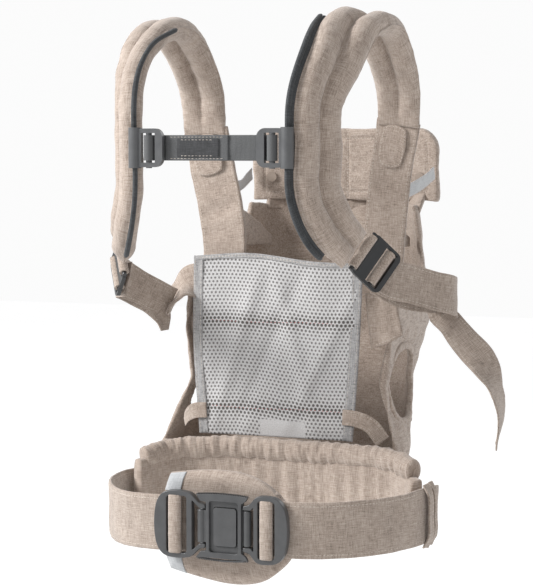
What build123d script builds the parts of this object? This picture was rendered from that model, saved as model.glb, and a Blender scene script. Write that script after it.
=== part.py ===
from build123d import *
from math import cos, radians, sin
import os

os.makedirs("parts", exist_ok=True)

# A soft baby carrier as it hangs on its wearer, in millimetres. +X is the wearer's right, +Y is forward,
# from the wearer towards the baby, and +Z is up. The origin is on the wearer's axis, level with the
# lower edge of the lumbar pad. Every soft piece is a plain closed solid.

# Driving dimensions
WEBBING_WIDTH = 40.0  # shoulder adjusting webbing
WEBBING_THICKNESS = 1.8
CHEST_WEBBING = 25.0
WAIST_STRAP_WIDTH = 56.0
WAIST_STRAP_THICKNESS = 3.5
PAD_WIDTH = 58.0  # shoulder pad
PAD_THICKNESS = 20.0
PAD_SKIN = 1.5
CORE_GAP = 0.3
CORE_END = 6.0
RAIL_RADIUS = 3.0
RAIL_WEB = 4.0
RAIL_WEB_THICKNESS = 1.4
RUNNING_GAP = 0.1
CLEAR = 0.2
BACK_TURN = 56.0  # the pads face this far out from straight back
RAIL_Y = -130.0
RAIL_LEFT_X = -76.7
RAIL_RIGHT_X = 84.3
RAIL_TOP = 472.0  # ends of the straight, upright stretch that the chest strap slides on
RAIL_BOTTOM = 388.0
CHEST_Z = 431.0
SLIDER_HEIGHT = 40.0
BELT_HEIGHT = 73.0
BELT_THICKNESS = 12.0
LUMBAR_THICKNESS = 12.0
LUMBAR_Y = -127.0  # outer face of the lumbar pad
BUCKLE_Y = -138.0
BUCKLE_Z = 60.0
BUCKLE_DEPTH = 8.0
FRAME_HEIGHT = 72.0
MESH_Y = 80.0
SEAM_Z = 367.0  # fold line of the head support
HEAD_HEIGHT = 84.0
HEAD_THICKNESS = 12.0
PANEL_WALL = 5.0
PANEL_BACK = 92.0
ARM_Z = 292.0


def unit(x, y, z):
    return Vector(x, y, z).normalized()


OUT_LEFT = (-sin(radians(BACK_TURN)), -cos(radians(BACK_TURN)), 0)
OUT_RIGHT = (sin(radians(BACK_TURN)), -cos(radians(BACK_TURN)), 0)


def travel(stations, index):
    """The direction in which a strap runs at one of its stations."""
    before = Vector(*stations[max(index - 1, 0)][0])
    after = Vector(*stations[min(index + 1, len(stations) - 1)][0])
    if len(stations[index]) > 3:
        return Vector(*stations[index][3])
    return (after - before).normalized()


def cross_planes(stations):
    """One plane across the strap at each station: x over its width, y through its thickness."""
    planes = []
    for index, station in enumerate(stations):
        along = travel(stations, index)
        across = along.cross(unit(*station[1])).normalized()
        planes.append(Plane(origin=station[0], x_dir=across, z_dir=along))
    return planes


def shifted(stations, outward, sideways=None):
    """The same route, moved along each station's facing and, if asked, sideways."""
    moved = []
    for index, station in enumerate(stations):
        along = travel(stations, index)
        facing = unit(*station[1])
        across = along.cross(facing).normalized()
        point = Vector(*station[0]) + facing * outward
        if sideways:
            point += across * sideways[index]
        moved.append((tuple(point), station[1], station[2], tuple(along)))
    return moved


def shortened(stations, end):
    """The same route with both ends drawn in."""
    first, second = Vector(*stations[0][0]), Vector(*stations[1][0])
    last, previous = Vector(*stations[-1][0]), Vector(*stations[-2][0])
    start = first + (second - first).normalized() * end
    finish = last + (previous - last).normalized() * end
    head = (tuple(start), *stations[0][1:])
    tail = (tuple(finish), *stations[-1][1:])
    return [head, *stations[1:-1], tail]


def save(piece, label):
    piece.part.label = label
    export_step(piece.part, f"parts/{label}.step")


def flat_strap(label, stations, thickness):
    """Webbing or a folded strip of fabric."""
    with BuildPart() as strap:
        for plane, station in zip(cross_planes(stations), stations):
            with BuildSketch(plane):
                Rectangle(station[2], thickness)
        loft(ruled=True)
    save(strap, label)


def pad(cover_label, core_label, stations, thickness, corner, skin):
    """A sewn pad: a closed cover, and the foam core that fills it."""
    inside = shortened(stations, CORE_END)
    with BuildPart() as cover:
        for plane, station in zip(cross_planes(stations), stations):
            with BuildSketch(plane):
                RectangleRounded(station[2], thickness, corner)
        loft(ruled=True)
        for plane, station in zip(cross_planes(inside), inside):
            with BuildSketch(plane):
                Rectangle(station[2] - 2 * skin, thickness - 2 * skin)
        loft(ruled=True, mode=Mode.SUBTRACT)
    save(cover, cover_label)
    loss = 2 * (skin + CORE_GAP)
    core_route = shortened(stations, CORE_END + CORE_GAP)
    with BuildPart() as core:
        for plane, station in zip(cross_planes(core_route), core_route):
            with BuildSketch(plane):
                Rectangle(station[2] - loss, thickness - loss)
        loft(ruled=True)
    save(core, core_label)


# Shoulder pads, from the end on the chest, over the shoulder and down the back
DOWN = (0, 0, -1)
PAD_REACH = PAD_WIDTH / 2 + RAIL_RADIUS + RAIL_WEB + CLEAR
PAD_LEFT_X = RAIL_LEFT_X - PAD_REACH * cos(radians(BACK_TURN))
PAD_RIGHT_X = RAIL_RIGHT_X + PAD_REACH * cos(radians(BACK_TURN))
PAD_BACK_Y = RAIL_Y + PAD_REACH * sin(radians(BACK_TURN))
LEFT_PAD = [
    ((-96, 95, 450), (0, 1, 0), 52),
    ((-96, 84, 494), (0, 1, 0.3), 56),
    ((-99, 56, 531), (0, 0.8, 0.6), PAD_WIDTH),
    ((-99, 8, 554), (0, 0.1, 1), PAD_WIDTH),
    ((-100, -42, 544), (-0.3, -0.5, 0.8), PAD_WIDTH),
    ((-101, -80, 511), (-0.7, -0.6, 0.35), PAD_WIDTH),
    ((PAD_LEFT_X, PAD_BACK_Y, RAIL_TOP), OUT_LEFT, PAD_WIDTH, DOWN),
    ((PAD_LEFT_X, PAD_BACK_Y, RAIL_BOTTOM), OUT_LEFT, PAD_WIDTH, DOWN),
    ((-109, -88, 352), (-0.83, -0.56, 0), 56),
    ((-122, -63, 328), (-0.85, -0.52, 0), 50),
]
RIGHT_PAD = [
    ((127, 95, 458), (0, 1, 0), 48),
    ((130, 81, 491), (0, 1, 0.3), 50),
    ((130, 54, 524), (0, 0.8, 0.6), 54),
    ((127, 10, 554), (0, 0.1, 1), PAD_WIDTH),
    ((121, -38, 553), (0.3, -0.5, 0.8), PAD_WIDTH),
    ((115, -80, 515), (0.7, -0.6, 0.35), PAD_WIDTH),
    ((PAD_RIGHT_X, PAD_BACK_Y, RAIL_TOP), OUT_RIGHT, PAD_WIDTH, DOWN),
    ((PAD_RIGHT_X, PAD_BACK_Y, RAIL_BOTTOM), OUT_RIGHT, PAD_WIDTH, DOWN),
    ((116, -90, 356), (0.82, -0.57, 0), 56),
    ((127, -66, 336), (0.82, -0.57, 0), 50),
]
pad("shoulder_pad_left", "shoulder_foam_left", LEFT_PAD, PAD_THICKNESS, 8, PAD_SKIN)
pad("shoulder_pad_right", "shoulder_foam_right", RIGHT_PAD, PAD_THICKNESS, 8, PAD_SKIN)


def rail(label, stations, side):
    """The piping that the chest strap slides on: a round bead on a thin sewn web along the pad's edge."""
    first = 4
    route = stations[first:]
    reach = [side * (s[2] / 2 + CLEAR + RAIL_WEB + RAIL_RADIUS) for s in route]
    keyed = [(s[0], s[1], s[2], tuple(travel(stations, i + first))) for i, s in enumerate(route)]
    half_web = RAIL_WEB_THICKNESS / 2
    root = RAIL_RADIUS * cos(radians(15))
    rim = [(RAIL_RADIUS * cos(radians(a)), RAIL_RADIUS * sin(radians(a))) for a in range(45, 316, 30)]
    reach_out = RAIL_RADIUS + RAIL_WEB
    outline = [(reach_out, half_web), (root, half_web), *rim, (root, -half_web), (reach_out, -half_web)]
    with BuildPart() as bead:
        for plane in cross_planes(shifted(keyed, 0, reach)):
            with BuildSketch(plane):
                with BuildLine():
                    Polyline(*[(-side * x, y) for x, y in outline], close=True)
                make_face()
        loft(ruled=True)
    save(bead, label)


rail("rail_left", LEFT_PAD, -1)
rail("rail_right", RIGHT_PAD, 1)

# Plain front straps, below the pads, with a stiff patch on the wearer's side of each
LEFT_FRONT = [
    ((-95, 96, 442), (0, 1, 0), 52),
    ((-88, 97, 408), (0, 1, 0), 52),
    ((-78, 96, 366), (0, 1, 0), 52),
    ((-72, 93, 300), (0, 1, 0), 50),
]
RIGHT_FRONT = [
    ((126, 97, 451), (0, 1, 0), 48),
    ((117, 100, 406), (0, 1, 0), 46),
    ((112, 100, 359), (0, 1, 0), 46),
    ((109, 96, 300), (0, 1, 0), 45),
]
FRONT_THICKNESS = 5.0
flat_strap("front_strap_left", LEFT_FRONT, FRONT_THICKNESS)
flat_strap("front_strap_right", RIGHT_FRONT, FRONT_THICKNESS)
PATCH_THICKNESS = 1.2
PATCH_OUT = -(FRONT_THICKNESS + PATCH_THICKNESS) / 2 - CLEAR
for patch_label, strap_route in (("strap_patch_left", LEFT_FRONT), ("strap_patch_right", RIGHT_FRONT)):
    two = [(s[0], s[1], 30) for s in strap_route[:2]]
    flat_strap(patch_label, shifted(shortened(two, 2), PATCH_OUT), PATCH_THICKNESS)

# Chest strap: two sliders that clip round the rails, and webbing between them
FRAME_DEPTH = 6.0
SLIDER_GRIP = 6.2
WINDOW_START = 8.0
WINDOW_END = 23.0
SLIDER_END = 31.0
BAR_RADIUS = 3.0
WRAP_GAP = 0.2
WRAP_OUTER = 5.2


def chest_slider(label, rail_x, inward, out):
    """A D-shaped frame with a window and a bar, and a clip with a slot for the rail's web."""
    middle = rail_x + inward * (WINDOW_START + WINDOW_END) / 2
    bottom = Plane.XY.offset(CHEST_Z - SLIDER_HEIGHT / 2)
    with BuildPart() as slider:
        with BuildSketch(bottom):
            with Locations((rail_x, RAIL_Y)):
                Circle(SLIDER_GRIP)
        extrude(amount=SLIDER_HEIGHT)
        with BuildSketch(Plane(origin=(rail_x, RAIL_Y, CHEST_Z), x_dir=(inward, 0, 0), z_dir=(0, -inward, 0))):
            with Locations((SLIDER_END / 2, 0)):
                RectangleRounded(SLIDER_END, SLIDER_HEIGHT - 2, 9)
            with Locations((3, 0)):
                Rectangle(6, SLIDER_HEIGHT)
            with Locations(((WINDOW_START + WINDOW_END) / 2, 0)):
                Rectangle(WINDOW_END - WINDOW_START, CHEST_WEBBING + 4, mode=Mode.SUBTRACT)
        extrude(amount=FRAME_DEPTH / 2, both=True)
        with BuildSketch(bottom):
            with Locations((middle, RAIL_Y)):
                Circle(BAR_RADIUS)
        extrude(amount=SLIDER_HEIGHT - 2)
        with BuildSketch(bottom):
            with Locations((rail_x, RAIL_Y)):
                Circle(RAIL_RADIUS + RUNNING_GAP)
            slot = Vector(-out[1], out[0]) * -inward
            turn = 180 + (BACK_TURN if inward > 0 else -BACK_TURN) * -1
            with Locations(Location((rail_x + slot.X * 5, RAIL_Y + slot.Y * 5, 0), (0, 0, 1), turn)):
                Rectangle(10, RAIL_WEB_THICKNESS + 0.6)
        extrude(amount=SLIDER_HEIGHT, mode=Mode.SUBTRACT)
    save(slider, label)
    return middle


left_bar_x = chest_slider("chest_slider_left", RAIL_LEFT_X, 1, OUT_LEFT)
right_bar_x = chest_slider("chest_slider_right", RAIL_RIGHT_X, -1, OUT_RIGHT)
for wrap_label, bar_x in (("chest_loop_left", left_bar_x), ("chest_loop_right", right_bar_x)):
    with BuildPart() as wrap:
        with BuildSketch(Plane.XY.offset(CHEST_Z - CHEST_WEBBING / 2)):
            with Locations((bar_x, RAIL_Y)):
                Circle(WRAP_OUTER)
                Circle(BAR_RADIUS + WRAP_GAP, mode=Mode.SUBTRACT)
        extrude(amount=CHEST_WEBBING)
    save(wrap, wrap_label)
CHEST_BACK = (0, -1, 0)
chest_y = RAIL_Y + WRAP_OUTER + WEBBING_THICKNESS / 2 + CLEAR
flat_strap(
    "chest_webbing",
    [
        ((left_bar_x, chest_y, CHEST_Z), CHEST_BACK, CHEST_WEBBING),
        ((right_bar_x, chest_y, CHEST_Z), CHEST_BACK, CHEST_WEBBING),
    ],
    WEBBING_THICKNESS,
)
overlay_y = chest_y - WEBBING_THICKNESS - CLEAR
flat_strap(
    "chest_webbing_fold",
    [
        ((-44, overlay_y, CHEST_Z), CHEST_BACK, CHEST_WEBBING),
        ((21, overlay_y, CHEST_Z), CHEST_BACK, CHEST_WEBBING),
    ],
    WEBBING_THICKNESS,
)
label_y = overlay_y - WEBBING_THICKNESS / 2 - 0.4 - CLEAR
flat_strap(
    "chest_label",
    [((-32, label_y, CHEST_Z), CHEST_BACK, 18), ((12, label_y, CHEST_Z), CHEST_BACK, 18)],
    0.8,
)

# Ladder buckles at the lower ends of the shoulder pads. Each tilts on the bar that its pad's loop holds.
LADDER_LENGTH = 42.0
LADDER_WIDTH = 47.0
LADDER_DEPTH = 4.0
LADDER_BAR = 2.5
HINGE_BACK = 18.0  # from the buckle's middle to its hinge bar
WRAP_AT = 9.0
LOOP_OUTER = 5.0


def ladder(side, centre, along, facing):
    """The frame, the pad's loop round its hinge bar, and the webbing's turn round its middle bar."""
    run = unit(*along)
    face = unit(*facing)
    face = (face - run * face.dot(run)).normalized()
    across = run.cross(face)
    here = Vector(*centre)
    plane = Plane(origin=here, x_dir=run, z_dir=face)
    hinge = here - run * HINGE_BACK
    turn = here + run * WRAP_AT
    with BuildPart() as frame:
        with BuildSketch(plane):
            with Locations((1.5, 0)):
                RectangleRounded(LADDER_LENGTH, LADDER_WIDTH, 7)
            with Locations((-HINGE_BACK + 2, 0)):
                Rectangle(8, WEBBING_WIDTH + 1, mode=Mode.SUBTRACT)
            with Locations((WRAP_AT, 0)):
                Rectangle(16, WEBBING_WIDTH + 1, mode=Mode.SUBTRACT)
        extrude(amount=LADDER_DEPTH / 2, both=True)
        for middle in (hinge, turn):
            with BuildSketch(Plane(origin=middle, x_dir=run, z_dir=across)):
                Circle(LADDER_BAR)
            extrude(amount=LADDER_WIDTH / 2 - 1, both=True)
    save(frame, f"ladder_buckle_{side}")
    for kind, middle, outer in (("pad_loop", hinge, LOOP_OUTER), ("webbing_turn", turn, WRAP_OUTER)):
        with BuildPart() as ring:
            with BuildSketch(Plane(origin=middle, x_dir=run, z_dir=across)):
                Circle(outer)
                Circle(LADDER_BAR + WRAP_GAP, mode=Mode.SUBTRACT)
            extrude(amount=WEBBING_WIDTH / 2 - 1, both=True)
        save(ring, f"{kind}_{side}")
    print(side, "ladder hinge", tuple(round(v, 2) for v in hinge), "axis", tuple(round(v, 4) for v in across))


ladder("left", (-139, -38, 305), (-0.49, 0.59, -0.64), (-0.8, -0.6, 0))
ladder("right", (144, -41, 317), (0.49, 0.59, -0.64), (0.77, -0.64, 0))

# Shoulder webbing: from each ladder buckle round the wearer's side to the wing, and its free tail
LEFT_WEBBING = [
    ((-141, -24, 296), (-0.9, -0.4, 0.2), WEBBING_WIDTH),
    ((-156, 2, 288), (-1, -0.1, 0.2), WEBBING_WIDTH),
    ((-162, 26, 276), (-0.95, 0.3, 0.1), WEBBING_WIDTH),
    ((-156, 42, 267), (-0.75, 0.65, 0), WEBBING_WIDTH),
    ((-147, 54, 262), (-0.6, 0.8, 0), WEBBING_WIDTH),
]
RIGHT_WEBBING = [
    ((142, -20, 303), (0.7, -0.7, 0), WEBBING_WIDTH),
    ((164, 1, 287), (0.75, -0.6, 0.2), WEBBING_WIDTH),
    ((183, 18, 274), (0.9, -0.4, 0.2), WEBBING_WIDTH),
    ((186, 40, 268), (1, 0.15, 0), WEBBING_WIDTH),
    ((174, 63, 271), (0.75, 0.65, 0), WEBBING_WIDTH),
    ((152, 79, 281), (0.5, 0.85, 0), WEBBING_WIDTH),
    ((127, 90, 291), (0.3, 0.95, 0), WEBBING_WIDTH),
]
LEFT_TAIL = [
    ((-134, -20, 294), (-0.9, -0.4, 0.2), 38),
    ((-149, 3, 284), (-1, -0.1, 0.2), 38),
    ((-154, 24, 270), (-0.95, 0.3, 0.1), 38),
    ((-147, 40, 256), (-0.75, 0.65, 0), 38),
    ((-137, 50, 240), (-0.7, 0.7, 0), 38),
]
RIGHT_TAIL = [
    ((144.5, -29.4, 309.3), (0.77, -0.64, 0), WEBBING_WIDTH),
    ((153, -22.5, 300.4), (0.77, -0.64, 0), WEBBING_WIDTH),
    ((174, -10, 294), (0.62, -0.75, 0.25), WEBBING_WIDTH),
    ((196, 3, 286), (0.7, -0.65, 0.2), WEBBING_WIDTH),
    ((211, 22, 272), (1, -0.1, 0.1), WEBBING_WIDTH),
    ((212, 34, 256), (0.95, 0.3, 0), WEBBING_WIDTH),
    ((211, 30, 236), (0.8, -0.6, 0), WEBBING_WIDTH),
    ((227, 14, 212), (0.7, -0.7, 0), WEBBING_WIDTH),
    ((246, 2, 188), (0.8, -0.6, 0), WEBBING_WIDTH),
    ((257, -4, 158), (0.95, -0.2, 0), WEBBING_WIDTH),
    ((256, 0, 122), (0.99, 0.1, 0), WEBBING_WIDTH),
]
flat_strap("shoulder_webbing_left", LEFT_WEBBING, WEBBING_THICKNESS)
flat_strap("shoulder_webbing_right", RIGHT_WEBBING, WEBBING_THICKNESS)
flat_strap("webbing_tail_left", LEFT_TAIL, WEBBING_THICKNESS)
flat_strap("webbing_tail_right", RIGHT_TAIL, WEBBING_THICKNESS)

# Wings that join the webbing to the sides of the front panel
WING_THICKNESS = 4.0
LEFT_WING = [
    ((-108, 87, 270), (-0.2, 1, 0), 56),
    ((-124, 76, 266), (-0.5, 0.85, 0), 48),
    ((-137, 64, 261), (-0.6, 0.8, 0), 40),
]
RIGHT_WING = [
    ((100, 86, 246), (0, 1, 0), 50),
    ((114, 86, 244), (0, 1, 0), 46),
    ((127, 85, 242), (0.2, 1, 0), 40),
]
flat_strap("wing_left", LEFT_WING, WING_THICKNESS)
flat_strap("wing_right", RIGHT_WING, WING_THICKNESS)

# Inner mesh panel against the wearer's chest, with its edge bindings
MESH_THICKNESS = 3.0
MESH_TOP = 312.0
MESH_BOTTOM = 118.0
BINDING_WIDTH = 12.0
MESH_SIDES = ((-102, -96), (92, 82))  # left and right edges, at the top and at the bottom
TAB_WIDTH = 17.0


def upright_strip(label, left_top, right_top, left_bottom, right_bottom, thickness, y):
    """A flat piece standing across the wearer's chest."""
    with BuildPart() as strip:
        with BuildSketch(Plane(origin=(0, y, 0), x_dir=(1, 0, 0), z_dir=(0, -1, 0))):
            with BuildLine():
                Polyline(
                    (left_top, MESH_TOP),
                    (right_top, MESH_TOP - 4),
                    (right_bottom, MESH_BOTTOM),
                    (left_bottom, MESH_BOTTOM),
                    close=True,
                )
            make_face()
        extrude(amount=thickness / 2, both=True)
    save(strip, label)


(mesh_lt, mesh_lb), (mesh_rt, mesh_rb) = MESH_SIDES
inset = BINDING_WIDTH + 3 * CLEAR
mesh_edges = (mesh_lt + inset, mesh_rt - inset, mesh_lb + inset, mesh_rb - inset)
upright_strip("mesh_panel", *mesh_edges, MESH_THICKNESS, MESH_Y)
left_edges = (mesh_lt, mesh_lt + BINDING_WIDTH, mesh_lb, mesh_lb + BINDING_WIDTH)
right_edges = (mesh_rt - BINDING_WIDTH, mesh_rt, mesh_rb - BINDING_WIDTH, mesh_rb)
upright_strip("mesh_binding_left", *left_edges, MESH_THICKNESS + 1, MESH_Y)
upright_strip("mesh_binding_right", *right_edges, MESH_THICKNESS + 1, MESH_Y)

# Webbing tabs from the mesh's lower corners to the belt
tab_y = MESH_Y - 4
LEFT_TAB = [
    ((-88, tab_y, 142), (0, -1, 0), TAB_WIDTH),
    ((-100, tab_y, 141), (-0.2, -1, 0), TAB_WIDTH),
    ((-112, tab_y + 6, 134), (-0.5, -0.8, 0), TAB_WIDTH - 3),
    ((-118, tab_y + 12, 126), (-0.8, -0.5, 0), TAB_WIDTH - 6),
]
RIGHT_TAB = [
    ((72, tab_y, 142), (0, -1, 0), TAB_WIDTH),
    ((86, tab_y, 141), (0.1, -1, 0), TAB_WIDTH),
    ((102, tab_y + 3, 134), (0.4, -0.9, 0), TAB_WIDTH),
    ((114, tab_y + 7, 118), (0.6, -0.8, 0), TAB_WIDTH),
]
flat_strap("mesh_tab_left", LEFT_TAB, 2)
flat_strap("mesh_tab_right", RIGHT_TAB, 2)

# Padded waist belt across the front, the gathered tunnel on its upper edge and the elastic inside it
BELT = [
    ((-138, 8, 52), (-1, 0.3, 0), BELT_HEIGHT - 14),
    ((-122, 38, 53), (-0.7, 0.7, 0), BELT_HEIGHT - 4),
    ((-75, 60, 56), (-0.3, 1, 0), BELT_HEIGHT),
    ((0, 70, 55), (0, 1, 0), BELT_HEIGHT),
    ((75, 63, 56), (0.25, 1, 0), BELT_HEIGHT),
    ((142, 41, 56), (0.6, 0.8, 0), BELT_HEIGHT - 4),
    ((174, 12, 56), (1, 0.5, 0), BELT_HEIGHT - 14),
]
TUNNEL_RADIUS = 10.0
TUNNEL = [
    ((-136, 14, 95), (-1, 0.3, 0), 0),
    ((-121, 38, 100.5), (-0.7, 0.7, 0), 0),
    ((-75, 59, 104), (-0.3, 1, 0), 0),
    ((0, 69, 103.5), (0, 1, 0), 0),
    ((75, 62, 104), (0.25, 1, 0), 0),
    ((141, 41, 104), (0.6, 0.8, 0), 0),
    ((169, 17, 99), (1, 0.5, 0), 0),
]
pad("waist_belt_cover", "waist_belt_foam", BELT, BELT_THICKNESS, 4, PAD_SKIN)
ELASTIC_RADIUS = 3.0
with BuildPart() as tunnel:
    for tunnel_plane in cross_planes(TUNNEL):
        with BuildSketch(tunnel_plane):
            Circle(TUNNEL_RADIUS)
    loft(ruled=True)
    for tunnel_plane in cross_planes(shortened(TUNNEL, CORE_END)):
        with BuildSketch(tunnel_plane):
            Circle(ELASTIC_RADIUS + CORE_GAP)
    loft(ruled=True, mode=Mode.SUBTRACT)
save(tunnel, "belt_tunnel")
with BuildPart() as elastic:
    for tunnel_plane in cross_planes(shortened(TUNNEL, CORE_END + CORE_GAP)):
        with BuildSketch(tunnel_plane):
            Circle(ELASTIC_RADIUS)
    loft(ruled=True)
save(elastic, "tunnel_elastic")

# Waist straps round the hips to the buckle at the back
strap_y = LUMBAR_Y - WAIST_STRAP_THICKNESS / 2 - 2 * CLEAR
LEFT_WAIST = [
    ((-24, strap_y, BUCKLE_Z - 1), (0, -1, 0), WAIST_STRAP_WIDTH),
    ((-58, strap_y, BUCKLE_Z - 2), (-0.15, -1, 0), WAIST_STRAP_WIDTH),
    ((-99, -112, BUCKLE_Z - 4), (-0.55, -0.85, 0), WAIST_STRAP_WIDTH),
    ((-134, -70, BUCKLE_Z - 5), (-0.85, -0.5, 0), WAIST_STRAP_WIDTH),
    ((-152, -22, BUCKLE_Z - 6), (-1, -0.15, 0), WAIST_STRAP_WIDTH),
    ((-154, 12, BUCKLE_Z - 6), (-1, 0.2, 0), WAIST_STRAP_WIDTH),
    ((-144, 36, BUCKLE_Z - 6), (-0.8, 0.6, 0), WAIST_STRAP_WIDTH),
]
RIGHT_WAIST = [
    ((60, strap_y, BUCKLE_Z + 1), (0, -1, 0), WAIST_STRAP_WIDTH),
    ((94, strap_y, BUCKLE_Z), (0.15, -1, 0), WAIST_STRAP_WIDTH),
    ((136, -110, BUCKLE_Z), (0.5, -0.85, 0), WAIST_STRAP_WIDTH),
    ((177, -66, BUCKLE_Z + 1), (0.8, -0.6, 0), WAIST_STRAP_WIDTH),
    ((195, -20, BUCKLE_Z + 3), (1, -0.15, 0), WAIST_STRAP_WIDTH),
    ((195, 16, BUCKLE_Z + 3), (1, 0.3, 0), WAIST_STRAP_WIDTH),
    ((184, 38, BUCKLE_Z + 3), (0.8, 0.6, 0), WAIST_STRAP_WIDTH),
]
flat_strap("waist_strap_left", LEFT_WAIST, WAIST_STRAP_THICKNESS)
flat_strap("waist_strap_right", RIGHT_WAIST, WAIST_STRAP_THICKNESS)

# Lumbar pad behind the buckle, with its stiffener
LUMBAR_LEFT = -53.0
LUMBAR_RIGHT = 93.0
LUMBAR_TOP = 113.0
lumbar_plane = Plane(origin=(0, LUMBAR_Y, 0), x_dir=(1, 0, 0), z_dir=(0, -1, 0))
lumbar_centre = ((LUMBAR_LEFT + LUMBAR_RIGHT) / 2, LUMBAR_TOP / 2)
lumbar_width = LUMBAR_RIGHT - LUMBAR_LEFT
with BuildPart() as lumbar:
    with BuildSketch(lumbar_plane):
        with Locations(lumbar_centre):
            RectangleRounded(lumbar_width, LUMBAR_TOP, 16)
    extrude(amount=-LUMBAR_THICKNESS)
    with BuildSketch(lumbar_plane.offset(-3)):
        with Locations(lumbar_centre):
            RectangleRounded(lumbar_width - 14, LUMBAR_TOP - 14, 10)
    extrude(amount=-(LUMBAR_THICKNESS - 6), mode=Mode.SUBTRACT)
save(lumbar, "lumbar_pad_cover")
with BuildPart() as stiffener:
    with BuildSketch(lumbar_plane.offset(-3 - CORE_GAP)):
        with Locations(lumbar_centre):
            RectangleRounded(lumbar_width - 15, LUMBAR_TOP - 15, 9)
    extrude(amount=-(LUMBAR_THICKNESS - 6 - 2 * CORE_GAP))
save(stiffener, "lumbar_stiffener")

# Waist buckle: two frames that the straps loop into, and a plate that swings open on the left frame's pin
PLATE_LEFT = 3.6
PLATE_RIGHT = 41.4
PLATE_DEPTH = 6.0
PIN_X = -2.0
PIN_RADIUS = 2.0
KNUCKLE_RADIUS = 4.5
KNUCKLE_LENGTH = 8.0
BARREL_LENGTH = 25.4
CATCH_X = 46.0
CATCH_RADIUS = 4.0
LEFT_FRAME = (-50.0, -12.0)
RIGHT_FRAME = (50.0, 87.0)
SLOT_HEIGHT = WAIST_STRAP_WIDTH + 2
SLOT_WIDTH = 17.0
LOOP_PIN = 2.0
LOOP_RADIUS = 4.8
CRESCENT = 11.0
face_plane = Plane(origin=(0, BUCKLE_Y, BUCKLE_Z), x_dir=(1, 0, 0), z_dir=(0, -1, 0))
barrel_half = BARREL_LENGTH / 2
knuckle_start = barrel_half + CLEAR


left_slot = LEFT_FRAME[0] + CRESCENT + SLOT_WIDTH / 2 + 1.5
right_slot = RIGHT_FRAME[1] - CRESCENT - SLOT_WIDTH / 2 - 1.5
with BuildPart() as left_frame:
    with BuildSketch(face_plane):
        with Locations((sum(LEFT_FRAME) / 2, 0)):
            RectangleRounded(LEFT_FRAME[1] - LEFT_FRAME[0], FRAME_HEIGHT, 12)
        with Locations((left_slot, 0)):
            RectangleRounded(SLOT_WIDTH, SLOT_HEIGHT, 3, mode=Mode.SUBTRACT)
    extrude(amount=BUCKLE_DEPTH / 2, both=True)
    for up in (1, -1):
        with BuildSketch(face_plane):
            with BuildLine():
                Polyline(
                    (LEFT_FRAME[1] - 1, up * 31),
                    (PIN_X, up * (knuckle_start + KNUCKLE_LENGTH)),
                    (PIN_X, up * knuckle_start),
                    (LEFT_FRAME[1] - 1, up * 19),
                    close=True,
                )
            make_face()
        extrude(amount=3, both=True)
        low = knuckle_start if up > 0 else -knuckle_start - KNUCKLE_LENGTH
        with BuildSketch(Plane.XY.offset(BUCKLE_Z + low)):
            with Locations((PIN_X, BUCKLE_Y)):
                Circle(KNUCKLE_RADIUS)
        extrude(amount=KNUCKLE_LENGTH)
    with BuildSketch(Plane.XY.offset(BUCKLE_Z - knuckle_start - KNUCKLE_LENGTH)):
        with Locations((PIN_X, BUCKLE_Y)):
            Circle(PIN_RADIUS + 0.05)
    extrude(amount=2 * (knuckle_start + KNUCKLE_LENGTH), mode=Mode.SUBTRACT)
    with BuildSketch(Plane.XY.offset(BUCKLE_Z)):
        with Locations((left_slot, BUCKLE_Y)):
            Circle(LOOP_PIN)
    extrude(amount=SLOT_HEIGHT / 2 + 1, both=True)
save(left_frame, "waist_buckle_frame_left")
with BuildPart() as right_frame:
    with BuildSketch(face_plane):
        with Locations((sum(RIGHT_FRAME) / 2, 0)):
            RectangleRounded(RIGHT_FRAME[1] - RIGHT_FRAME[0], FRAME_HEIGHT, 12)
        with Locations((right_slot, 0)):
            RectangleRounded(SLOT_WIDTH, SLOT_HEIGHT, 3, mode=Mode.SUBTRACT)
    extrude(amount=BUCKLE_DEPTH / 2, both=True)
    with BuildSketch(Plane.XY.offset(BUCKLE_Z - barrel_half - KNUCKLE_LENGTH)):
        with Locations((CATCH_X, BUCKLE_Y)):
            Circle(CATCH_RADIUS)
        with Locations((CATCH_X + 3, BUCKLE_Y)):
            Rectangle(6, 4)
    extrude(amount=BARREL_LENGTH + 2 * KNUCKLE_LENGTH)
    with BuildSketch(Plane.XY.offset(BUCKLE_Z)):
        with Locations((right_slot, BUCKLE_Y)):
            Circle(LOOP_PIN)
    extrude(amount=SLOT_HEIGHT / 2 + 1, both=True)
save(right_frame, "waist_buckle_frame_right")
with BuildPart() as hinge_pin:
    with BuildSketch(Plane.XY.offset(BUCKLE_Z)):
        with Locations((PIN_X, BUCKLE_Y)):
            Circle(PIN_RADIUS)
    extrude(amount=knuckle_start + KNUCKLE_LENGTH - 0.5, both=True)
save(hinge_pin, "waist_buckle_pin")

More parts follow.
